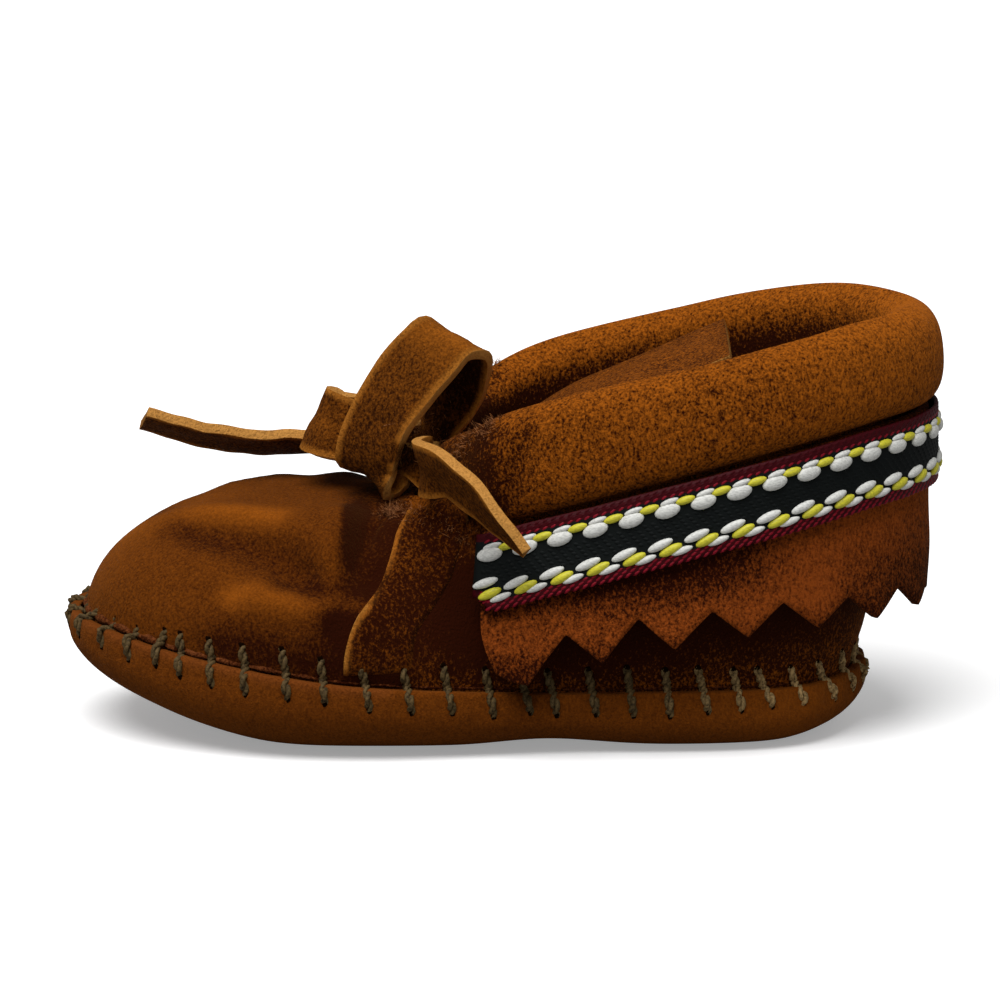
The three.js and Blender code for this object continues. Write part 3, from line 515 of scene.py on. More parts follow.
def make_knot():
    """The strip's wrap round the crossing laces."""
    half = (KNOT_HIGH - KNOT_LOW) / 2
    bm = bmesh.new()
    around, across = 40, 14
    bmesh.ops.create_grid(bm, x_segments=around, y_segments=across, size=0.5)
    for vert in bm.verts:
        turn = (vert.co.x + 0.5) * 2 * math.pi
        v = vert.co.y * 2
        swell = math.sqrt(max(0.05, 1 - 0.72 * v * v))
        crease = 0.5 * math.sin(9 * v + 1.3 * math.sin(turn)) * (1 - v * v)
        lump = 0.5 * noise.noise(Vector((math.cos(turn), math.sin(turn), v)) * 1.7)
        reach = swell + (crease * 0.12 + lump * 0.16)
        vert.co = (half.x * 0.94 * reach * math.cos(turn),
                   half.y * 0.92 * v + 0.8 * math.sin(turn),
                   half.z * 0.98 * reach * math.sin(turn))
    bmesh.ops.remove_doubles(bm, verts=bm.verts, dist=0.05)
    bmesh.ops.scale(bm, vec=(MM, MM, MM), verts=bm.verts)
    bmesh.ops.translate(bm, vec=KNOT_MIDDLE * MM, verts=bm.verts)
    bmesh.ops.recalc_face_normals(bm, faces=bm.faces)
    piece = finished("lace_knot_wrap", bm, LACE_SUEDE, CUT_EDGE)
    wall = piece.modifiers.new("leather", "SOLIDIFY")
    wall.thickness, wall.offset = LACE_THICK, -1
    wall.material_offset_rim = 1
    return subdivided(applied(piece), 1)


knot = make_knot()
# Painted shade over the whole knot.
carry(knot, "tone_and_painted_light", np.full(len(knot.data.vertices), -0.3))

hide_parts("lace_loop_near", "lace_end_near")
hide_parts("lace_loop_far", "lace_end_far")
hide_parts("lace_knot")

# %% [markdown]
# The soft pieces of the shoe start from their own solids: a copy is merged, its triangles are
# joined to four-sided faces and Subdivision Surface rounds them, with creases where leather is cut
# square. After that the piece is fine enough to be pushed about like real leather: fold() moves
# what lies near a line of points, so a wall keeps its thickness, and brush() adds to a value near
# a line, mostly to paint light or shade in to the nap's tone.

# %% Soft pieces: helpers
def dressed(name, nodes, levels, sharp, *materials, crease=0.8):
    """A rounded, fine copy of solids, which it replaces; edges sharper than sharp stay crisp."""
    bm = bmesh.new()
    for node in nodes:
        bm.from_mesh(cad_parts[node].data)
    bmesh.ops.remove_doubles(bm, verts=bm.verts, dist=0.01 * MM)
    bmesh.ops.join_triangles(bm, faces=bm.faces, angle_face_threshold=math.radians(30),
                             angle_shape_threshold=math.radians(60))
    layer = bm.edges.layers.float.new("crease_edge")
    for edge in bm.edges:
        if len(edge.link_faces) == 2 and edge.calc_face_angle(0) > math.radians(sharp):
            edge[layer] = crease
    for layer_name in list(bm.loops.layers.uv.keys()):
        bm.loops.layers.uv.remove(bm.loops.layers.uv[layer_name])
    piece = finished(name, bm, *materials)
    subdivided(piece, levels)
    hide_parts(*nodes)
    carry(piece, "tone_and_painted_light", np.zeros(len(piece.data.vertices)))
    carry(piece, "worn", np.zeros(len(piece.data.vertices)))
    return piece


def distance_to(places, line):
    """How far each place lies from a line of points, and the share along it."""
    line = np.asarray(line, float)
    best = np.full(len(places), 1e9)
    share = np.zeros(len(places))
    count = max(1, len(line) - 1)
    for i in range(len(line) - 1):
        a, run = line[i], line[i + 1] - line[i]
        t = np.clip(((places - a) @ run) / (run @ run), 0, 1)
        gap = np.linalg.norm(places - (a + t[:, None] * run), axis=1)
        near = gap < best
        best[near] = gap[near]
        share[near] = (i + t[near]) / count
    return best, share


FADE = 0.25


def fold(places, line, reach, push):
    """Moves what lies near a line by push, in millimetres; the move fades out over both ends."""
    gap, share = distance_to(places, line)
    fade = np.clip(share / FADE, 0, 1) * np.clip((1 - share) / FADE, 0, 1)
    weight = np.exp(-((gap / reach) ** 2)) * fade
    return places + weight[:, None] * np.asarray(push, float)


def brush(values, places, line, reach, amount, power=2):
    """Adds amount to a value near a line."""
    gap, _ = distance_to(places, line)
    return values + amount * np.exp(-((gap / reach) ** power))


def mirrored(line):
    """The same line on the shoe's other side."""
    return [(x, -y, z) for x, y, z in line]


def brush_both(values, places, line, reach, amount, power=2):
    """The same near a line and near its mirror image."""
    for one in (line, mirrored(line)):
        values = brush(values, places, one, reach, amount, power)
    return values


def tree_of(piece):
    """A search tree over a piece's faces, in metres."""
    bm = bmesh.new()
    bm.from_mesh(piece.data)
    tree = BVHTree.FromBMesh(bm)
    bm.free()
    return tree


def skin(point, out, trees, reach=12.0):
    """The outermost leather found from outside at a point, in millimetres."""
    best = None
    for tree in trees:
        start = Vector(point + out * reach) * MM
        hit, _, _, gap = tree.ray_cast(start, -Vector(out), 2 * reach * MM)
        if hit is not None and (best is None or gap < best[0]):
            best = (gap, np.array(hit) / MM)
    return best[1] if best else point


MIDDLE_HIGH = 15.0


def away(point):
    """The way out of the shoe at a point, from a line through the shoe's middle."""
    out = np.array((0, point[1], point[2] - MIDDLE_HIGH))
    return out / np.linalg.norm(out)


def laid(line, tree):
    """A line's points cast on to a piece from outside."""
    return [skin(point, away(point), (tree,), 8.0) for point in np.asarray(line, float)]


# %% [markdown]
# The upper is one hollow piece of suede: a puffed vamp over the toes, and quarters whose front
# edge, the wing, laps over the vamp. Worn and squeezed in a drawer, the vamp has a few soft
# troughs and ridges. They are laid where the photograph shows them, with the far side's
# own, slightly different ones, since folds are never even.

# %% Upper
SIDE = np.array((0.0, -0.85, 0.52))
TOP = np.array((-0.2, -0.3, 0.93))
VAMP_TROUGH = [(-53, 1, 30), (-49, -7, 32), (-45, -12, 32), (-41, -15, 32), (-37, -18, 31),
               (-33, -20, 30), (-30, -21, 27), (-28, -23, 25), (-25, -25, 22)]
VAMP_RIDGE = [(-56, 2, 28), (-51, -4, 32), (-47, -7, 33), (-40, -11, 34), (-34, -13, 35)]
LOW_RIDGE = [(-40, -22, 24), (-37, -22, 24), (-33, -23.5, 23.4), (-27, -24, 23), (-20, -25, 23)]
THROAT_RIDGE = [(-23.8, -9, 36), (-24, -12, 35.4), (-24.4, -15.7, 34), (-25.4, -20, 30),
                (-25, -24, 24)]
THROAT_FOLD = [(-19, -4, 36), (-19.6, -11, 35.5), (-19.8, -18, 32), (-19.8, -23, 27),
               (-21, -25, 22)]
WING_EDGE = [(-13.6, -12.6, 36), (-14.3, -14.1, 35.6), (-15.6, -17.9, 33.4), (-17, -20.9, 29.3),
             (-18, -22.7, 26.7), (-20.2, -25, 23.4), (-22.6, -26.8, 19.8), (-23.3, -27.3, 16.4),
             (-23.6, -27.2, 12.5)]
TOE_TOP_HIGHLIGHT = [(-60, -2, 25), (-54, -3, 30), (-46, 0, 34)]
FAR_TROUGH = [(-50, 9, 31), (-44, 14, 32), (-37, 17, 31), (-31, 20, 28), (-26, 23, 24)]
FAR_RIDGE = [(-46, 8, 34), (-38, 12, 35), (-30, 15, 34)]
ROLL_CREASE = [(3.2, -26, 50.2), (2.0, -26.8, 45.6), (0.4, -26.4, 39.5), (-0.6, -22, 35)]
ROLL_FRONT_SHADE = [(-8, -15, 40), (-6, -19, 38), (-3.4, -22.5, 38), (-2.4, -23, 43), (-2.4, -21.5, 47.5)]
FLAP_SHADOW = [(-2, -26.4, 21), (8, -26.4, 20.5), (20, -26.2, 21), (32, -25.5, 22), (43, -21.5, 23),
              (51, -14, 25), (55, -5, 27)]
WING_SHADE = [(-10, -18.5, 33), (-8, -21.5, 31), (-6, -23.5, 27), (-13, -24, 24), (-18, -25.6, 19)]
CREST = [(-0.9, -20.4, 50.8), (5.6, -23.4, 53.3), (16.6, -24.6, 56.4), (28.6, -24.7, 59.1),
         (40.6, -22.5, 61.9), (51.6, -16.8, 63.9), (59, -8.8, 64.4), (61.4, 0, 64.4)]
CREST_BACK_HIGHLIGHT = [(50, -20, 55), (56, -14, 58), (60, -4, 58)]
VAMP_TONE, QUARTER_TONE, CALMEST = -0.24, -0.04, 0.75

# the sole's rim from toe to heel, near side
SEAM = [(-65.4, 0, 17.6), (-63.9, -8.6, 17.6), (-59.2, -15.4, 17.1), (-51.4, -21.2, 15.7),
        (-41.4, -25.4, 14.1), (-31.5, -27.6, 12.7), (-23.7, -28.0, 11.6), (-14.4, -27.5, 10.9),
        (-6.4, -26.4, 10.4), (4.5, -24.9, 9.9), (18.6, -23.6, 9.6), (28.5, -23.1, 9.6),
        (37.5, -21.9, 9.5), (46.0, -18.2, 9.5), (52.4, -10.4, 9.8), (54.6, 0, 10.0)]


def soften(piece, where, times):
    """Evens out a step that the solid has where a modelled lap takes its place."""
    bm = bmesh.new()
    bm.from_mesh(piece.data)
    verts = [vert for vert in bm.verts if where(vert.co / MM)]
    for _ in range(times):
        bmesh.ops.smooth_vert(bm, verts=verts, factor=0.5,
                              use_axis_x=True, use_axis_y=True, use_axis_z=True)
    bm.to_mesh(piece.data)
    bm.free()


def near_wing(p):
    """Whether a place is near the step that the solid has at the wing."""
    return -27 < p[0] < -11 and 13 < p[2] < 37.5 and abs(p[1]) > 5


def shape_upper(piece):
    """Lays the folds of the upper and paints light and shade on it."""
    soften(piece, near_wing, 26)
    places, tree = places_of(piece), tree_of(piece)
    near_folds = (VAMP_TROUGH, VAMP_RIDGE, LOW_RIDGE, THROAT_RIDGE, THROAT_FOLD)
    trough, ridge, low_ridge, throat_ridge, throat_fold = (laid(line, tree) for line in near_folds)
    for line, reach, push in (
            (trough, 3.6, -2.7 * SIDE),
            (ridge, 3.4, 1.3 * TOP),
            (low_ridge, 2.8, 1.4 * SIDE),
            (throat_ridge, 2.6, 1.4 * SIDE),
            (throat_fold, 3.0, -1.9 * SIDE),
            (FAR_TROUGH, 4.5, 1.2 * SIDE * (1, 1, -1)),
            (FAR_RIDGE, 3.5, (0, 0, 0.7)),
            (mirrored(THROAT_RIDGE), 3.2, 0.7 * SIDE * (1, -1, 1)),
            (mirrored(THROAT_FOLD), 2.8, -1.0 * SIDE * (1, -1, 1)),
            (ROLL_CREASE, 1.6, (0, 0.9, 0)),
            (mirrored(ROLL_CREASE), 1.6, (0, -0.8, 0))):
        places = fold(places, line, reach, push)
    lumps = ripple(places, 13.0, 3.0)
    outward = places - np.array((0, 0, 25))
    outward[:, 0] *= 0.3
    outward /= np.linalg.norm(outward, axis=1)[:, None] + 1e-6
    places += outward * (0.35 * lumps)[:, None]
    put(piece, places)
    tone_and_painted_light = np.where(places[:, 0] < -14, VAMP_TONE, QUARTER_TONE)
    # Painted shade in the vamp's troughs and the throat's fold, painted highlight on its ridges, on the
    # toe's top and along the collar's crest and back.
    for line, reach, amount, power in (
            (trough, 2.8, -0.34, 2),
            (ridge, 2.6, 0.36, 2),
            (low_ridge, 1.9, 0.36, 2),
            (throat_ridge, 1.6, 0.14, 2),
            (throat_fold, 5.4, -0.22, 4),
            (TOE_TOP_HIGHLIGHT, 6.0, 0.14, 2),
            (CREST, 4.0, 0.12, 2),
            (mirrored(CREST), 5.0, 0.24, 2),
            (CREST_BACK_HIGHLIGHT, 9.0, 0.26, 2)):
        tone_and_painted_light = brush(tone_and_painted_light, places, line, reach, amount, power)
    # Painted shade in the roll's crease, at its front end, under the flap and at the wing, and a darker
    # band just above the seam.
    above_seam = [(x, y, z + 2.5) for x, y, z in SEAM[4:15]]
    for line, reach, amount in (
            (ROLL_CREASE, 2.0, -0.3),
            (ROLL_FRONT_SHADE, 4.0, -0.4),
            (FLAP_SHADOW, 9.0, -0.7),
            (WING_SHADE, 6.0, -0.4),
            (above_seam, 4.5, -0.3)):
        tone_and_painted_light = brush_both(tone_and_painted_light, places, line, reach, amount)
    # Painted shade on the roll's front end, where it turns in towards the instep.
    front = np.clip((0.6 - places[:, 0]) / 3.5, 0, 1) * np.clip((places[:, 2] - 36) / 2, 0, 1)
    tone_and_painted_light -= 0.34 * front * np.clip((51.5 - places[:, 2]) / 2, 0, 1) * (np.abs(places[:, 1]) > 9)
    carry(piece, "tone_and_painted_light", tone_and_painted_light + inside_shade(piece, places))
    # The grain is calmer on the vamp, and in the painted shade under the flap and at the wing.
    calm = CALMEST * np.clip((-12 - places[:, 0]) / 8, 0, 1)
    for line in (WING_SHADE, FLAP_SHADOW):
        calm = brush_both(calm, places, line, 9.0, 0.6, 4)
    carry(piece, "calm", np.clip(calm, 0, CALMEST))


def inside_shade(piece, places):
    """The painted shade inside the collar: how much darker it is, deeper below its crest."""
    crest = np.asarray(CREST)
    depth = np.interp(places[:, 0], crest[:, 0], crest[:, 2]) - places[:, 2]
    middle = np.stack([np.clip(places[:, 0], 8, 42), 0 * depth, 0 * depth], 1)
    inward = (middle - places) * (1, 1, 0)
    inward /= np.linalg.norm(inward, axis=1)[:, None] + 1e-6
    facing = np.clip(1.6 * (inward * normals_of(piece)).sum(1), 0, 1)
    return -0.72 * facing * np.clip((depth - 3.5) / 4, 0, 1) * (places[:, 2] > 20)


upper = dressed("upper_suede", ["upper"], 2, 40, UPPER_SUEDE, crease=0.6)
shape_upper(upper)
print("upper:", len(upper.data.polygons), "faces")

# %% [markdown]
# The sole is a tray of thicker, darker suede. Its rim stands outside the upper's edge and is
# pulled against it by the stitches, so the rim waves between them. Around the toe the rim's cut
# edge shows as a reddish lip.

# %% Sole and insole
STITCH_AT = [-60.2, -56, -51.6, -48.3, -43.6, -38.5, -32.3, -26.6, -20.3, -14.1, -8.1, -2, 3.2, 7.2,
             13.1, 18.7, 24.2, 29.5, 34.7, 38.9, 44, 48.6]
STITCH_PITCH = 5.7
PULL, PULL_BAND = 0.45, 2.5


def seam_line():
    """The seam from toe to heel on the near side, in millimetres, with the length along it."""
    points, length = through(SEAM, 0.4)
    return points, np.linspace(0, length, len(points))


def evenly(reach):
    """Even steps of about one pitch from -reach to reach, both ends left out."""
    return np.linspace(-reach, reach, round(2 * reach / STITCH_PITCH) + 1)[1:-1]


def at_run(run, runs, points):
    """The point that lies run along a line of points."""
    return np.array([np.interp(run, runs, points[:, k]) for k in range(3)])


def stitch_places():
    """Where each stitch crosses the seam, with the way out of the shoe there, all round."""
    points, runs = seam_line()
    at = [float(np.interp(x, points[:, 0], runs)) for x in STITCH_AT]
    toe = [run for run in evenly(at[0]) if run <= 0.01]
    heel = [-(runs[-1] + run) for run in evenly(runs[-1] - at[-1]) if run < -0.01]
    made = []
    for run in sorted(toe + [-run for run in at] + heel):
        place, ahead, back = (at_run(-run + step, runs, points) for step in (0, 0.5, -0.5))
        along = (ahead - back) / np.linalg.norm(ahead - back)
        out = np.cross(along, (0, 0, 1))
        if out @ (place - np.array((0, 0, place[2]))) < 0:
            out = -out
        for side in (1,) if abs(run) < 0.5 else (1, -1):
            flip = np.array((1, side, 1))
            made.append((place * flip, out / np.linalg.norm(out) * flip, along * flip))
    made.append((points[-1], np.array((1.0, 0, 0)), np.array((0, 1.0, 0))))
    return made


STITCHES = stitch_places()
print("stitches:", len(STITCHES))


def pull_in(places, reach):
    """Dents the leather where each stitch pulls it in."""
    for place, out, _ in STITCHES:
        offset = places - place
        flat = np.linalg.norm(np.cross(offset, (0, 0, 1.0)), axis=1)
        gap = np.sqrt(flat**2 + (np.maximum(np.abs(offset[:, 2]) - PULL_BAND, 0)) ** 2)
        places = places - np.exp(-((gap / reach) ** 2))[:, None] * out * PULL
    return places


def shape_sole(piece):
    """Pulls the rim in at the stitches and brushes the sides."""
    places = places_of(piece)
    lumps = ripple(places, 11.0, 8.0)
    level = np.clip((places[:, 2] - 2.5) / 3, 0, 1)
    outward = places * (0.4, 1, 0)
    outward /= np.linalg.norm(outward, axis=1)[:, None] + 1e-6
    places += outward * (0.3 * lumps * level)[:, None]
    places = pull_in(places, 1.3)
    put(piece, places)
    tone_and_painted_light = 0.1 * ripple(places, 18.0, 2.0) + 0.05
    tone_and_painted_light = brush(tone_and_painted_light, places, [(44, -19, 6), (50, -13, 6), (53, -4, 6)], 9.0, 0.2)
    carry(piece, "tone_and_painted_light", tone_and_painted_light)
    carry(piece, "calm", np.full(len(places), 0.3))
    rim = seam_line()[0][::12]
    carry(piece, "worn", brush(np.zeros(len(places)), places, rim[:14], 1.1, 0.35))


sole = dressed("sole_suede_tray", ["sole"], 2, 60, SOLE_SUEDE, crease=0.5)
shape_sole(sole)
insole = dressed("insole_lining", ["insole"], 1, 50, LINING)
put(upper, pull_in(places_of(upper), 1.4))

UPPER_TREE, SOLE_TREE = tree_of(upper), tree_of(sole)

# %% [markdown]
# The quarter's front edge is a cut edge that laps over the vamp. The solid has it as a step, which
# rounding softens, so a thin lap of suede is laid over the quarter's front, on both sides: a grid
# starts at the wing's edge, is cast on to the upper and sinks in to it at the back. Solidify gives
# the edge its thickness and its pale cut.

# %% Wing laps
LAP_HIGH, LAP_THICK, LAP_DEEP = 0.85, 1.1, 10.0


def make_lap(name, side):
    """A lap of suede along the wing's edge; side is 1 on the near side and -1 on the far one."""
    edge, _ = through(WING_EDGE, 0.6)
    bm = bmesh.new()
    rows = len(edge) - 1
    bmesh.ops.create_grid(bm, x_segments=rows, y_segments=14, size=0.5)
    for vert in bm.verts:
        s = vert.co.x + 0.5
        t = (vert.co.y + 0.5) ** 1.6
        i = round(s * rows)
        hand = 0.3 * noise.noise(Vector((s * 7, 3.0 + side, 0.0)))
        place = edge[i] + np.array((LAP_DEEP * t + hand * (1 - t), 0, 0))
        place[1] *= side
        out = away(place)
        fade = np.clip(s / 0.05, 0, 1) * np.clip((1 - s) / 0.05, 0, 1)
        high = (LAP_HIGH * (1 - t) ** 0.7 + 0.35) * fade - 0.35
        vert.co = Vector(skin(place, out, (UPPER_TREE,), 6.0) + out * high) * MM
    bmesh.ops.recalc_face_normals(bm, faces=bm.faces)
    middle = bm.faces[:][len(bm.faces) // 2]
    if middle.normal.y * side > 0:
        bmesh.ops.reverse_faces(bm, faces=bm.faces[:])
    piece = finished(name, bm, UPPER_SUEDE, CUT_EDGE)
    wall = piece.modifiers.new("leather", "SOLIDIFY")
    wall.thickness, wall.offset, wall.material_offset_rim = LAP_THICK * MM, -1, 1
    applied(piece)
    places = places_of(piece) * (1, side, 1)
    gap, _ = distance_to(places, edge)
    # Painted shade on the lap, most at the wing; its cut edge is lighter and rubbed pale.
    tone_and_painted_light = brush(np.full(len(places), -0.25), places, WING_SHADE, 6.0, -0.3)
    carry(piece, "tone_and_painted_light", np.where(gap < 0.7, 0.06, tone_and_painted_light))
    carry(piece, "calm", np.full(len(places), 0.4))
    carry(piece, "worn", 0.95 * np.exp(-((gap / 0.55) ** 2)))
    return piece


laps = [make_lap("wing_lap_near", 1), make_lap("wing_lap_far", -1)]
print("laps:", [len(lap.data.polygons) for lap in laps], "faces")

# %% [markdown]
# The tongue is a plain flat piece of suede with square cut edges.

# %% Tongue
inner_lace = dressed("lace_in_casing_strip", ["lace_in_casing"], 1, 40, LACE_SUEDE)
carry(inner_lace, "tone_and_painted_light", np.full(len(inner_lace.data.vertices), -0.25))
tongue = dressed("tongue_suede", ["tongue"], 3, 40, UPPER_SUEDE, CUT_EDGE, crease=1.0)


def shape_tongue(piece):
    """Waves the tongue a little and gives its cut rim the pale edge."""
    places = places_of(piece)
    places[:, 2] += 0.5 * ripple(places, 10.0, 12.0)
    put(piece, places)
    for face in piece.data.polygons:
        if abs(face.normal.y) > 0.75 or (face.normal.x > 0.6 and face.center.x > 25 * MM):
            face.material_index = 1
    carry(piece, "tone_and_painted_light", np.full(len(places), -0.22))


shape_tongue(tongue)

# %% [markdown]
# The flap hangs from the casing and is cut with pinking teeth. Its solid has straight teeth, so
# they are kept crisp with creases and the leather is waved by noise, most at its free edge.

# %% Flap
flap = dressed("cuff_flap_suede", ["cuff_flap"], 3, 30, FLAP_SUEDE, CUT_EDGE, crease=0.9)

FLAP_TONE = -0.46
# Lines of the flap's painted light (tips and back) and painted shade (middle).
FLAP_TIP_LIGHT = [(-2, -28, 19), (6, -29, 20), (16, -29.5, 21), (26, -29.5, 22), (36, -28, 23),
             (47, -24, 25)]
FLAP_MIDDLE_SHADE = [(-2, -28, 31), (14, -29.5, 30), (32, -28, 33), (44, -24, 37)]
FLAP_BACK_LIGHT = [(46, -24, 34), (54, -17, 36), (60, 0, 38), (54, 17, 36)]


def shape_flap(piece):
    """Waves the flap and paints shade on its middle and light on its tips and its back."""
    places = places_of(piece)
    lumps = ripple(places, 9.0, 21.0)
    low = np.clip((40 - places[:, 2]) / 20, 0, 1)
    outward = (places - (25, 0, 0)) * (1, 1, 0)
    outward /= np.linalg.norm(outward, axis=1)[:, None]
    places += outward * (0.5 * lumps * low)[:, None]
    put(piece, places)
    tone_and_painted_light = 0.06 * ripple(places, 15.0, 4.0) + FLAP_TONE
    tone_and_painted_light = brush_both(tone_and_painted_light, places, FLAP_MIDDLE_SHADE, 5.0, -0.28)
    tone_and_painted_light = brush_both(tone_and_painted_light, places, FLAP_TIP_LIGHT, 4.0, 0.52)
    carry(piece, "tone_and_painted_light", brush(tone_and_painted_light, places, FLAP_BACK_LIGHT, 10.0, 0.8))


shape_flap(flap)

# %% [markdown]
# The braid is a woven trim: a black ground with two chains of fat white and yellow picks and a
# crimson edge on each side. The picks stand proud like grains of rice, so each is a small modelled
# pillow on the ground. The ground follows the solid braid: rays from outside find its top and
# bottom edge at every step along the shoe's outline.

# %% Braid: where it runs
BRAID_TREE = tree_of(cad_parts["braid_trim"])
BRAID_LOW, BRAID_HIGH = (Vector(c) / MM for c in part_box("braid_trim"))
OUTLINE = [(-4.0, -22.2), (5.6, -26), (16.6, -27.4), (28.6, -27.6), (40.6, -25.2), (51.6, -19),
           (59.5, -10), (62, 0)]


def braid_edges():
    """Top and bottom points of the braid's face at even steps, from near front to far front."""
    near = [(x, y, 0) for x, y in OUTLINE]
    whole = near + [(x, -y, 0) for x, y in reversed(OUTLINE[:-1])]
    path, _ = through(whole, 0.5)
    along = np.gradient(path, axis=0)
    tops, bottoms = [], []
    for point, way in zip(path, along):
        out = Vector((way[1], -way[0], 0)).normalized()
        hits = []
        for z in np.arange(BRAID_LOW.z + 0.1, BRAID_HIGH.z, 0.25):
            start = (Vector((point[0], point[1], z)) + out * 15) * MM
            hit, _, _, _ = BRAID_TREE.ray_cast(start, -out, 22 * MM)
            if hit is not None:
                hits.append(hit / MM)
        if len(hits) > 10:
            bottoms.append(hits[1])
            tops.append(hits[-2])
    return np.array(tops), np.array(bottoms)


def evened(points, width):
    """Points of a line, each the mean of its neighbours."""
    weights = np.hanning(2 * width + 3)[1:-1]
    weights /= weights.sum()
    padded = np.pad(points, ((width, width), (0, 0)), mode="edge")
    return np.stack([np.convolve(padded[:, k], weights, mode="valid") for k in range(3)], 1)


tops, bottoms = braid_edges()
tops, bottoms = evened(tops, 5), evened(bottoms, 5)
braid_runs = np.r_[0, np.cumsum(np.linalg.norm(np.diff((tops + bottoms) / 2, axis=0), axis=1))]
braid_high = float(np.mean(tops[:, 2] - bottoms[:, 2]))
print("braid:", round(braid_runs[-1]), "mm long,", round(braid_high, 1), "mm high")

WRAP_FROM, WRAP_RADIUS, WRAP_LONG = 0.5, 1.6, 1.6


def on_braid(run, share, proud=0.0):
    """A point on the braid, run along it, share of the way down and proud of its face.

    With it come the ways along, down and out of the braid. Past WRAP_FROM of either end the braid
    turns round the flap's upright edge.
    """
    whole = braid_runs[-1]
    flat = min(max(run, WRAP_FROM), whole - WRAP_FROM)
    steps = (flat, min(flat + 1, whole), max(flat - 1, 0))
    top, ahead, back = (at_run(step, braid_runs, tops) for step in steps)
    low = at_run(flat, braid_runs, bottoms)
    along = (ahead - back) / np.linalg.norm(ahead - back)
    down = (low - top) / np.linalg.norm(low - top)
    out = np.cross(down, along)
    out /= np.linalg.norm(out)
    point = top + (low - top) * share
    if run != flat:
        turn = (run - flat) / WRAP_RADIUS
        cos, sin = math.cos(turn), math.sin(turn)
        point = point + along * WRAP_RADIUS * sin - out * WRAP_RADIUS * (1 - cos)
        along, out = along * cos - out * sin, out * cos + along * sin
    return point + out * proud, along, down, out


# %% [markdown]
# The ground is a grid that follows those edges. Its own weave is rows of small flat picks, black in
# the middle and crimson at both edges; finer strands of the thread are left to the material.

# %% Braid: ground, picks and edges
def thread_material(name, colour, rough=0.5, shine=0.35, depth=0.02):
    """Filament thread with fine strands along it."""
    material, tree, shader = new_material(name)
    place = tree.nodes.new("ShaderNodeTexCoord").outputs["Object"]
    strands = noise_node(tree, place, 5200.0, 2.0, 0.5, ((0.2, 0.1, 0.3), (0.35, 1.0, 1.0)))
    deep = tuple(0.72 * c for c in colour)
    share = spread(tree, strands, 0.35, 0.6)
    tree.links.new(mix_colour(tree, share, (*deep, 1), (*colour, 1)), shader.inputs["Base Color"])
    roughness = math_node(tree, "ADD", math_node(tree, "MULTIPLY", strands, 0.2), rough - 0.1)
    tree.links.new(roughness, shader.inputs["Roughness"])
    shader.inputs["Specular IOR Level"].default_value = shine
    add_bump(tree, shader, strands, depth * MM)
    return material


WHITE = thread_material("white thread", (0.7, 0.7, 0.66))
YELLOW = thread_material("yellow thread", (0.62, 0.57, 0.03))
BLACK = thread_material("black thread", (0.0032, 0.0048, 0.0046), rough=0.7, shine=0.12, depth=0.05)
CRIMSON = thread_material("crimson thread", (0.23, 0.004, 0.014), shine=0.12, depth=0.05)
# The same crimson thread, darker, as painted shade: on the ground between the beads and on the top
# rows, under the roll's shadow.
CRIMSON_SHADED = thread_material("crimson thread in painted shade", (0.05, 0.0015, 0.004), shine=0.08, depth=0.05)
BRAID_THREADS = (BLACK, WHITE, YELLOW, CRIMSON, CRIMSON_SHADED)

PICK_PITCH = 5.45
BEAD_PITCH = 1.3


def pick_shape(around, rings):
    """The shape of a pick, a ball one millimetre across, to be copied."""
    bm = bmesh.new()
    bmesh.ops.create_uvsphere(bm, u_segments=around, v_segments=rings, radius=0.5)
    mesh = bpy.data.meshes.new("pick")
    bm.to_mesh(mesh)
    bm.free()
    return mesh


PICK, BEAD = pick_shape(12, 8), pick_shape(6, 5)


def pillow(bm, shape, run, share, size, turn, material, proud):
    """One pick, long, wide and tall, lying on the braid and turned on it."""
    middle, along, down, out = on_braid(run, share, proud)
    a = along * math.cos(turn) + down * math.sin(turn)
    b = down * math.cos(turn) - along * math.sin(turn)
    basis = np.stack([b * size[1], out * size[2], a * size[0], middle], 1) * MM
    copy = shape.copy()
    copy.transform(Matrix([*basis.tolist(), (0, 0, 0, 1)]))
    copy.polygons.foreach_set("material_index", [material] * len(copy.polygons))
    bm.from_mesh(copy, face_normals=False)
    bpy.data.meshes.remove(copy)


# the picks of one repeat: run, share, (long, wide, tall), turn, which of BRAID_THREADS
REPEAT = [
    (0.0, 0.235, (3.9, 2.2, 1.5), 0.02, 1),
    (2.7, 0.145, (3.0, 1.25, 1.1), -0.04, 2),
    (0.3, 0.115, (2.8, 0.95, 0.9), -0.1, 1),
    (4.4, 0.685, (3.9, 1.45, 1.25), -0.17, 1),
    (0.5, 0.785, (3.6, 1.5, 1.25), -0.22, 2),
    (2.2, 0.835, (3.3, 1.1, 1.0), -0.12, 1),
]
FIRST_PICK, PICK_PROUD, PICK_SHOWN = 1.4, 0.25, 0.9
BRAID_TOP, CRIMSON_EDGE = -0.09, 0.14
# rows of beads: share of the way down, shift along the braid and, for crimson, the thread; thread 4 on
# the two top rows is the crimson with painted shadow under the roll
CRIMSON_ROWS = ((-0.06, 0.3, 4), (-0.01, 0.9, 4), (0.04, 0.3, 3),
                (0.88, 0.2, 3), (0.93, 0.85, 3), (0.98, 0.2, 3))
BLACK_ROWS = ((0.37, 0.0), (0.43, 0.5), (0.49, 1.0), (0.55, 0.2), (0.61, 0.7))


def sort_faces(bm):
    """Puts faces in the order of their corners, because solidify's own order changes each run."""
    bm.verts.index_update()
    count = len(bm.verts)

    def rank(face):
        a, b, c = sorted(vert.index for vert in face.verts)[:3]
        return (a * count + b) * count + c

    bm.faces.sort(key=rank)


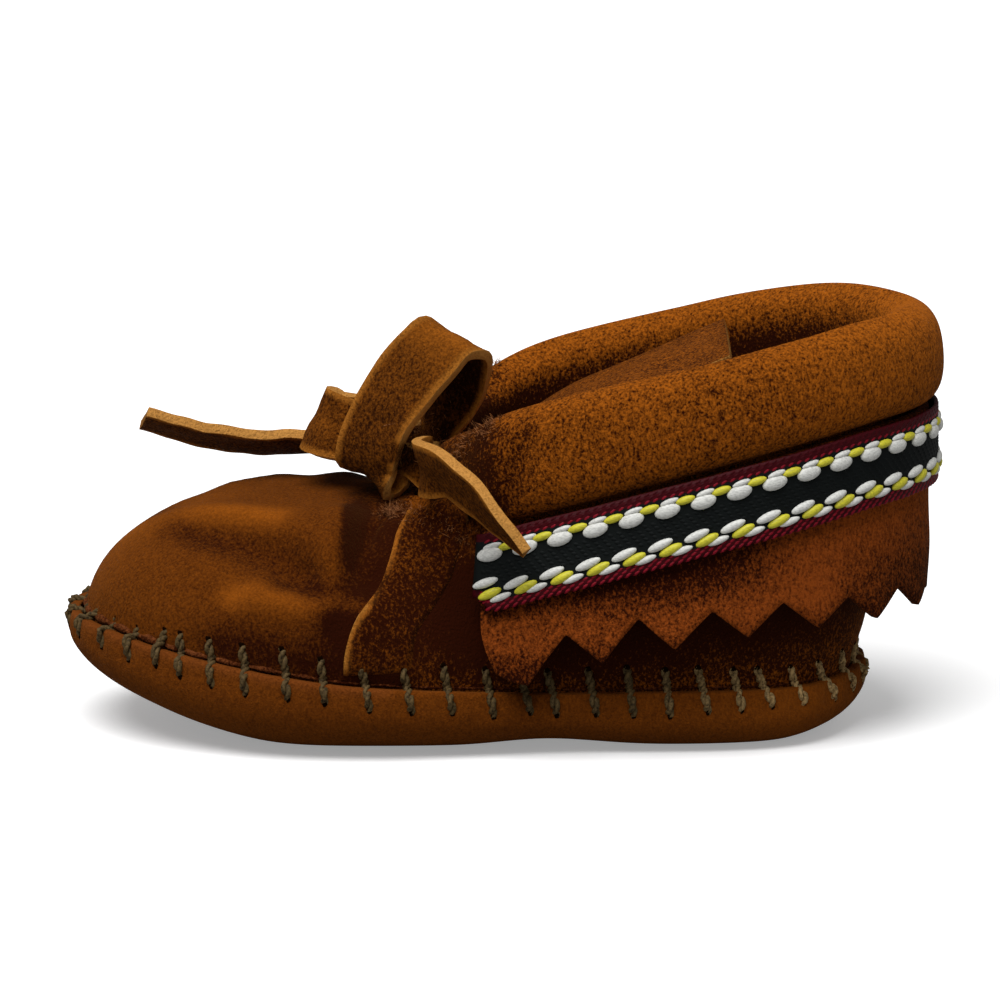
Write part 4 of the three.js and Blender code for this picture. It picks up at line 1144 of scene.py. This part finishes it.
def make_braid():
    """Ground and picks of the braid, one piece."""
    bm = bmesh.new()
    whole = braid_runs[-1] + 2 * WRAP_LONG
    bmesh.ops.create_grid(bm, x_segments=int(whole / 0.6), y_segments=16, size=0.5)
    for face in bm.faces:
        share = face.calc_center_median().y + 0.5
        # The ground's crimson edges take the crimson in painted shade, dark between the beads.
        face.material_index = 4 if share < CRIMSON_EDGE or share > 1 - CRIMSON_EDGE else 0
    for vert in bm.verts:
        run = (vert.co.x + 0.5) * whole - WRAP_LONG
        vert.co = Vector(on_braid(run, BRAID_TOP + (1 - BRAID_TOP) * (vert.co.y + 0.5), -0.3)[0]) * MM
    bmesh.ops.recalc_face_normals(bm, faces=bm.faces)
    bmesh.ops.solidify(bm, geom=bm.faces[:], thickness=0.5 * MM)
    first, last = 0.6 - WRAP_LONG, braid_runs[-1] - 0.6 + WRAP_LONG
    for i in range(-1, int(last / PICK_PITCH) + 1):
        for shift, share, size, turn, material in REPEAT:
            run = FIRST_PICK + i * PICK_PITCH + shift
            if first < run < last:
                inset = size[0] / 2 - PICK_SHOWN
                run = min(max(run, inset), braid_runs[-1] - inset)
                pillow(bm, PICK, run, share, size, turn, material, PICK_PROUD)
    for i in range(int(braid_runs[-1] / BEAD_PITCH)):
        run = (i + 0.4) * BEAD_PITCH
        for share, shift, material in CRIMSON_ROWS:
            pillow(bm, BEAD, run + shift, share, (1.35, 0.74, 0.6), -0.4, material, 0.0)
        for share, shift in BLACK_ROWS:
            pillow(bm, BEAD, run + shift, share, (1.5, 0.8, 0.6), 0.5, 0, 0.02)
    bmesh.ops.recalc_face_normals(bm, faces=bm.faces)
    sort_faces(bm)
    piece = finished("braid_woven", bm, *BRAID_THREADS)
    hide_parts("braid_trim")
    return piece


braid = make_braid()
print("braid:", len(braid.data.polygons), "faces")

# %% [markdown]
# The whip stitches are a thick waxed cord, two plies twisted, that goes in through the upper, over
# the sole's rim and in again through the sole's side. Each ply is a curve with a round bevel, wound
# round the stitch's own line, and rays lay the points of that line on the dressed leather.

# %% Stitches
PLY = 0.4
TWIST = 2.5
STITCH_HIGH, STITCH_LOW, STITCH_LEAN = 3.6, 3.4, 1.3


def thread_for_stitches():
    """Waxed olive cord."""
    material, tree, shader = new_material("olive waxed cord")
    place = tree.nodes.new("ShaderNodeTexCoord").outputs["Object"]
    strands = noise_node(tree, place, 2200.0, 3.0, 0.6)
    share = spread(tree, strands, 0.3, 0.65)
    colour = mix_colour(tree, share, (0.014, 0.008, 0.0025, 1), (0.115, 0.072, 0.026, 1))
    worn = math_node(tree, "MULTIPLY", vertex_value(tree, "worn"), share)
    tree.links.new(mix_colour(tree, worn, colour, (0.42, 0.27, 0.11, 1)), shader.inputs["Base Color"])
    shader.inputs["Roughness"].default_value = 0.7
    shader.inputs["Specular IOR Level"].default_value = 0.12
    add_bump(tree, shader, strands, 0.08 * MM)
    return material


def pinhole_shade_material():
    """Painted shade: the dark inside a hole in leather."""
    material, tree, shader = new_material("painted shade in a pinhole")
    place = tree.nodes.new("ShaderNodeTexCoord").outputs["Object"]
    share = noise_node(tree, place, 900.0)
    colour = mix_colour(tree, share, (0.002, 0.001, 0.0005, 1), (0.008, 0.003, 0.001, 1))
    tree.links.new(colour, shader.inputs["Base Color"])
    shader.inputs["Roughness"].default_value = 1.0
    shader.inputs["Specular IOR Level"].default_value = 0.0
    return material


OLIVE = thread_for_stitches()
HOLE_SHADE = pinhole_shade_material()


def ply_points(line, phase):
    """Points of one ply, wound round a line."""
    path, length = through(line, 0.45)
    along = np.gradient(path, axis=0)
    along /= np.linalg.norm(along, axis=1)[:, None]
    side = np.cross(along, (0.3, 0.2, 1.0))
    side /= np.linalg.norm(side, axis=1)[:, None]
    other = np.cross(along, side)
    angle = np.linspace(0, length / TWIST * 2 * math.pi, len(path)) + phase
    return path + PLY * 0.85 * (side * np.cos(angle)[:, None] + other * np.sin(angle)[:, None])


def meshed(name, data, material):
    """A piece made of a curve object's tubes."""
    curve = bpy.data.objects.new(name, data)
    bpy.context.collection.objects.link(curve)
    mesh = bpy.data.meshes.new_from_object(curve.evaluated_get(bpy.context.evaluated_depsgraph_get()))
    bpy.data.objects.remove(curve)
    bm = bmesh.new()
    bm.from_mesh(mesh)
    return finished(name, bm, material)


def tubes(name, radius, rounds):
    """Curve data whose splines become closed tubes."""
    data = bpy.data.curves.new(name, "CURVE")
    data.dimensions, data.bevel_depth, data.bevel_resolution = "3D", radius * MM, rounds
    data.use_fill_caps = True
    return data


def add_tube(data, points, thin=None):
    """One spline through points in millimetres; thin scales its radius at each point."""
    spline = data.splines.new("POLY")
    spline.points.add(len(points) - 1)
    for k, (target, point) in enumerate(zip(spline.points, points)):
        target.co = (*(np.asarray(point) * MM), 1)
        target.radius = 1.0 if thin is None else thin[k]


def stitch_line(place, out, along, draw):
    """The line of one stitch, from its upper hole over the rim to its lower hole.

    At the toe the line leans over the rim, by over, and at the heel it lies closer, by heel.
    """
    over = float(np.clip((-place[0] - 46) / 16, 0, 1))
    heel = float(np.clip((place[0] - 25) / 20, 0, 1))
    heelward = along * (1 if along[0] > 0 else -1)
    lean = heelward * (STITCH_LEAN / 2 * (1 + heel) + draw.normal(0, 0.2))
    high, low = STITCH_HIGH + draw.normal(0, 0.25), STITCH_LOW + draw.normal(0, 0.25)
    line = []
    for share, side in ((1.0, -1), (0.5, -0.6), (0.06, 0), (-0.45, 0.5), (-1.0, 1)):
        up = share * (high if share > 0 else low)
        inward = over * max(up, 0)
        point = place + np.array((0, 0, up * (1 - 0.25 * over) + 0.2)) + lean * side
        point = point - out * inward * 0.55 + heelward * inward * 0.45
        way = out + np.array((0, 0, 1.6 * over if up > 0 else 0))
        way /= np.linalg.norm(way)
        on = skin(point, way, (UPPER_TREE, SOLE_TREE))
        line.append(on + way * (0.36 - 0.16 * heel))
    return line


def make_stitches():
    """All whip stitches as one piece of tubes, with painted shade in the holes they go in to."""
    draw = np.random.default_rng(7)
    data = tubes("stitches", PLY, 1)
    holes = bmesh.new()
    for place, out, along in STITCHES:
        line = stitch_line(place, out, along, draw)
        line[0] = line[0] - out * 0.9 - (0, 0, 0.3)
        line[-1] = line[-1] - out * 0.9
        for phase in (0, math.pi):
            add_tube(data, ply_points(line, phase))
        # Painted shade: a dark ball sunk at each end of the stitch, in its hole.
        for end in (line[0], line[-1]):
            made = bmesh.ops.create_icosphere(holes, subdivisions=1, radius=0.7)
            bmesh.ops.translate(holes, vec=Vector(end + out * 0.12), verts=made["verts"])
    bmesh.ops.scale(holes, vec=(MM, MM, MM), verts=holes.verts)
    stitches = meshed("whip_stitches", data, OLIVE)
    carry(stitches, "worn", np.clip((places_of(stitches)[:, 0] - 20) / 25, 0, 1))
    pinholes = finished("stitch_hole_shade", holes, HOLE_SHADE)
    return stitches


def toeward(x):
    """0 at the ball of the foot and behind it, rising to 1 at the toe."""
    return np.clip((-x - 22) / 24, 0, 1)


def make_lip():
    """The sole's raised cut rim, which bulges between the stitches."""
    near = list(seam_line()[0][::2])
    loop = near + [p * (1, -1, 1) for p in near[-2:0:-1]]
    marks = np.array([place for place, _, _ in STITCHES])
    data = tubes("seam_lip", 1.0, 2)
    points, thin = [], []
    for k, place in enumerate(loop):
        ahead, back = loop[(k + 1) % len(loop)], loop[k - 1]
        out = np.cross(ahead - back, (0, 0, 1.0))
        out /= np.linalg.norm(out)
        if out @ place < 0:
            out = -out
        free = np.clip(np.linalg.norm(marks - place, axis=1).min() / 2.2, 0, 1)
        lump = noise.noise(Vector(place) / 1.7) + 0.6 * noise.noise(Vector(place) / 0.8)
        on = skin(place + (0, 0, 0.35), out, (UPPER_TREE, SOLE_TREE))
        points.append(on - out * 0.1 + (0, 0, 0.15 * lump))
        thin.append((0.24 + 0.36 * toeward(place[0])) * (0.5 + 0.5 * free) * (1 + 0.35 * lump))
    add_tube(data, points, thin)
    data.splines[0].use_cyclic_u = True
    lip = meshed("seam_lip", data, LIP_SUEDE)
    carry(lip, "tone_and_painted_light", -0.4 + 0.36 * toeward(places_of(lip)[:, 0]))
    return lip


stitches = make_stitches()
lip = make_lip()
print("stitches:", len(stitches.data.polygons), "faces, lip:", len(lip.data.polygons))

# %% [markdown]
# Cut suede frays. Round the knot, along the throat and at the roll's front end short loose fibres
# stand out of the leather, reddish and pale. Each is a fine tapered thread, closed at both ends; all
# fibres of a place are one piece. Their roots are drawn from the leather's own vertices by a seeded
# draw, so every run gives the same ones.

# %% Frayed fibres
def fuzz(name, pieces, lines, reach, count, length, thick, stand, seed):
    """Loose fibres on pieces, within about reach of lines; stand is how far they stand up."""
    draw = np.random.default_rng(seed)
    places = np.concatenate([places_of(piece) for piece in pieces])
    ways = np.concatenate([normals_of(piece) for piece in pieces])
    gap = np.min([distance_to(places, line)[0] for line in lines], axis=0)
    odds = np.exp(-((gap / reach) ** 2)) + 1e-9
    chosen = draw.choice(len(places), count, p=odds / odds.sum())
    data = tubes(name, thick / 2, 0)
    for k in chosen:
        root = places[k] + draw.normal(0, 0.35, 3) * (1 - 0.7 * abs(ways[k]))
        way = ways[k] * stand + draw.normal(0, 0.5, 3)
        way /= np.linalg.norm(way)
        long = length * draw.uniform(0.5, 1.3)
        curl = draw.normal(0, 0.35, 3)
        points = [root - ways[k] * 0.12 + (way * t + curl * t * t) * long for t in (0, 0.5, 1.0)]
        add_tube(data, points, (1.0, 0.8, 0.3))
    piece = meshed(name, data, FRAYED)
    return piece


THROAT_CUT = [(-17, -12.5, 36.5), (-13.5, -15.5, 36.6), (-9.6, -18.5, 36.2), (-6, -21, 34.8),
              (-2.8, -23, 32)]
THROAT_EDGES = [laid(THROAT_CUT, UPPER_TREE), laid(mirrored(THROAT_CUT), UPPER_TREE)]
ROLL_MOUTH = [(-7.5, -13, 42), (-5.5, -17, 44.5), (-3, -20, 47.5), (-1.5, -21.5, 49.5)]
KNOT_UPRIGHT = [tuple(KNOT_MIDDLE), tuple(KNOT_MIDDLE + Vector((0, 0, 3)))]

frays = [
    fuzz("throat_fray", [upper, *laps], THROAT_EDGES, reach=1.3,
         count=1500, length=1.0, thick=0.1, stand=0.4, seed=11),
    fuzz("casing_mouth_fray", [upper], [ROLL_MOUTH, mirrored(ROLL_MOUTH)], reach=1.3,
         count=1500, length=1.0, thick=0.1, stand=0.7, seed=12),
    fuzz("knot_fray", [knot, near_lace, far_lace], [KNOT_UPRIGHT], reach=5.5,
         count=3200, length=1.2, thick=0.12, stand=0.6, seed=13),
]
print("fibres:", sum(len(piece.data.polygons) for piece in frays), "faces")

# %% [markdown]
# A plain pale floor and soft studio light: one broad light from above and in front, which makes
# crests golden and leaves the sides darker, and a weak pale surround. A white floor would throw
# much light up at the shoe's sides, so it is darker for the light that it sends back than it is to
# look at.

# %% Floor, light and colour
FLOOR_COLOUR, FLOOR_BOUNCE = (0.9, 0.9, 0.9), (0.3, 0.3, 0.3)


def make_floor():
    """A wide pale floor, not part of the shoe."""
    bm = bmesh.new()
    bmesh.ops.create_grid(bm, x_segments=1, y_segments=1, size=6)
    mesh = bpy.data.meshes.new("floor")
    bm.to_mesh(mesh)
    bm.free()
    floor = bpy.data.objects.new("floor", mesh)
    bpy.context.collection.objects.link(floor)
    material, tree, shader = new_material("pale floor")
    seen = tree.nodes.new("ShaderNodeLightPath").outputs["Is Camera Ray"]
    colour = mix_colour(tree, seen, (*FLOOR_BOUNCE, 1), (*FLOOR_COLOUR, 1))
    tree.links.new(colour, shader.inputs["Base Color"])
    shader.inputs["Emission Color"].default_value = (1, 1, 1, 1)
    tree.links.new(math_node(tree, "MULTIPLY", seen, 0.3), shader.inputs["Emission Strength"])
    shader.inputs["Roughness"].default_value = 0.9
    mesh.materials.append(material)


def make_light():
    """Overhead key and a pale surround."""
    sun = bpy.data.lights.new("broad overhead", "SUN")
    sun.energy, sun.angle = 3.3, math.radians(45)
    light = bpy.data.objects.new("broad overhead", sun)
    light.rotation_euler = Vector((0.2, 0.42, -1.0)).to_track_quat("-Z", "Y").to_euler()
    bpy.context.collection.objects.link(light)
    world = bpy.data.worlds.new("surround")
    world.use_nodes = True
    background = world.node_tree.nodes["Background"]
    background.inputs["Color"].default_value = (1, 1, 1, 1)
    background.inputs["Strength"].default_value = 0.26
    bpy.context.scene.world = world


make_floor()
make_light()
bpy.context.scene.view_settings.view_transform = "Standard"
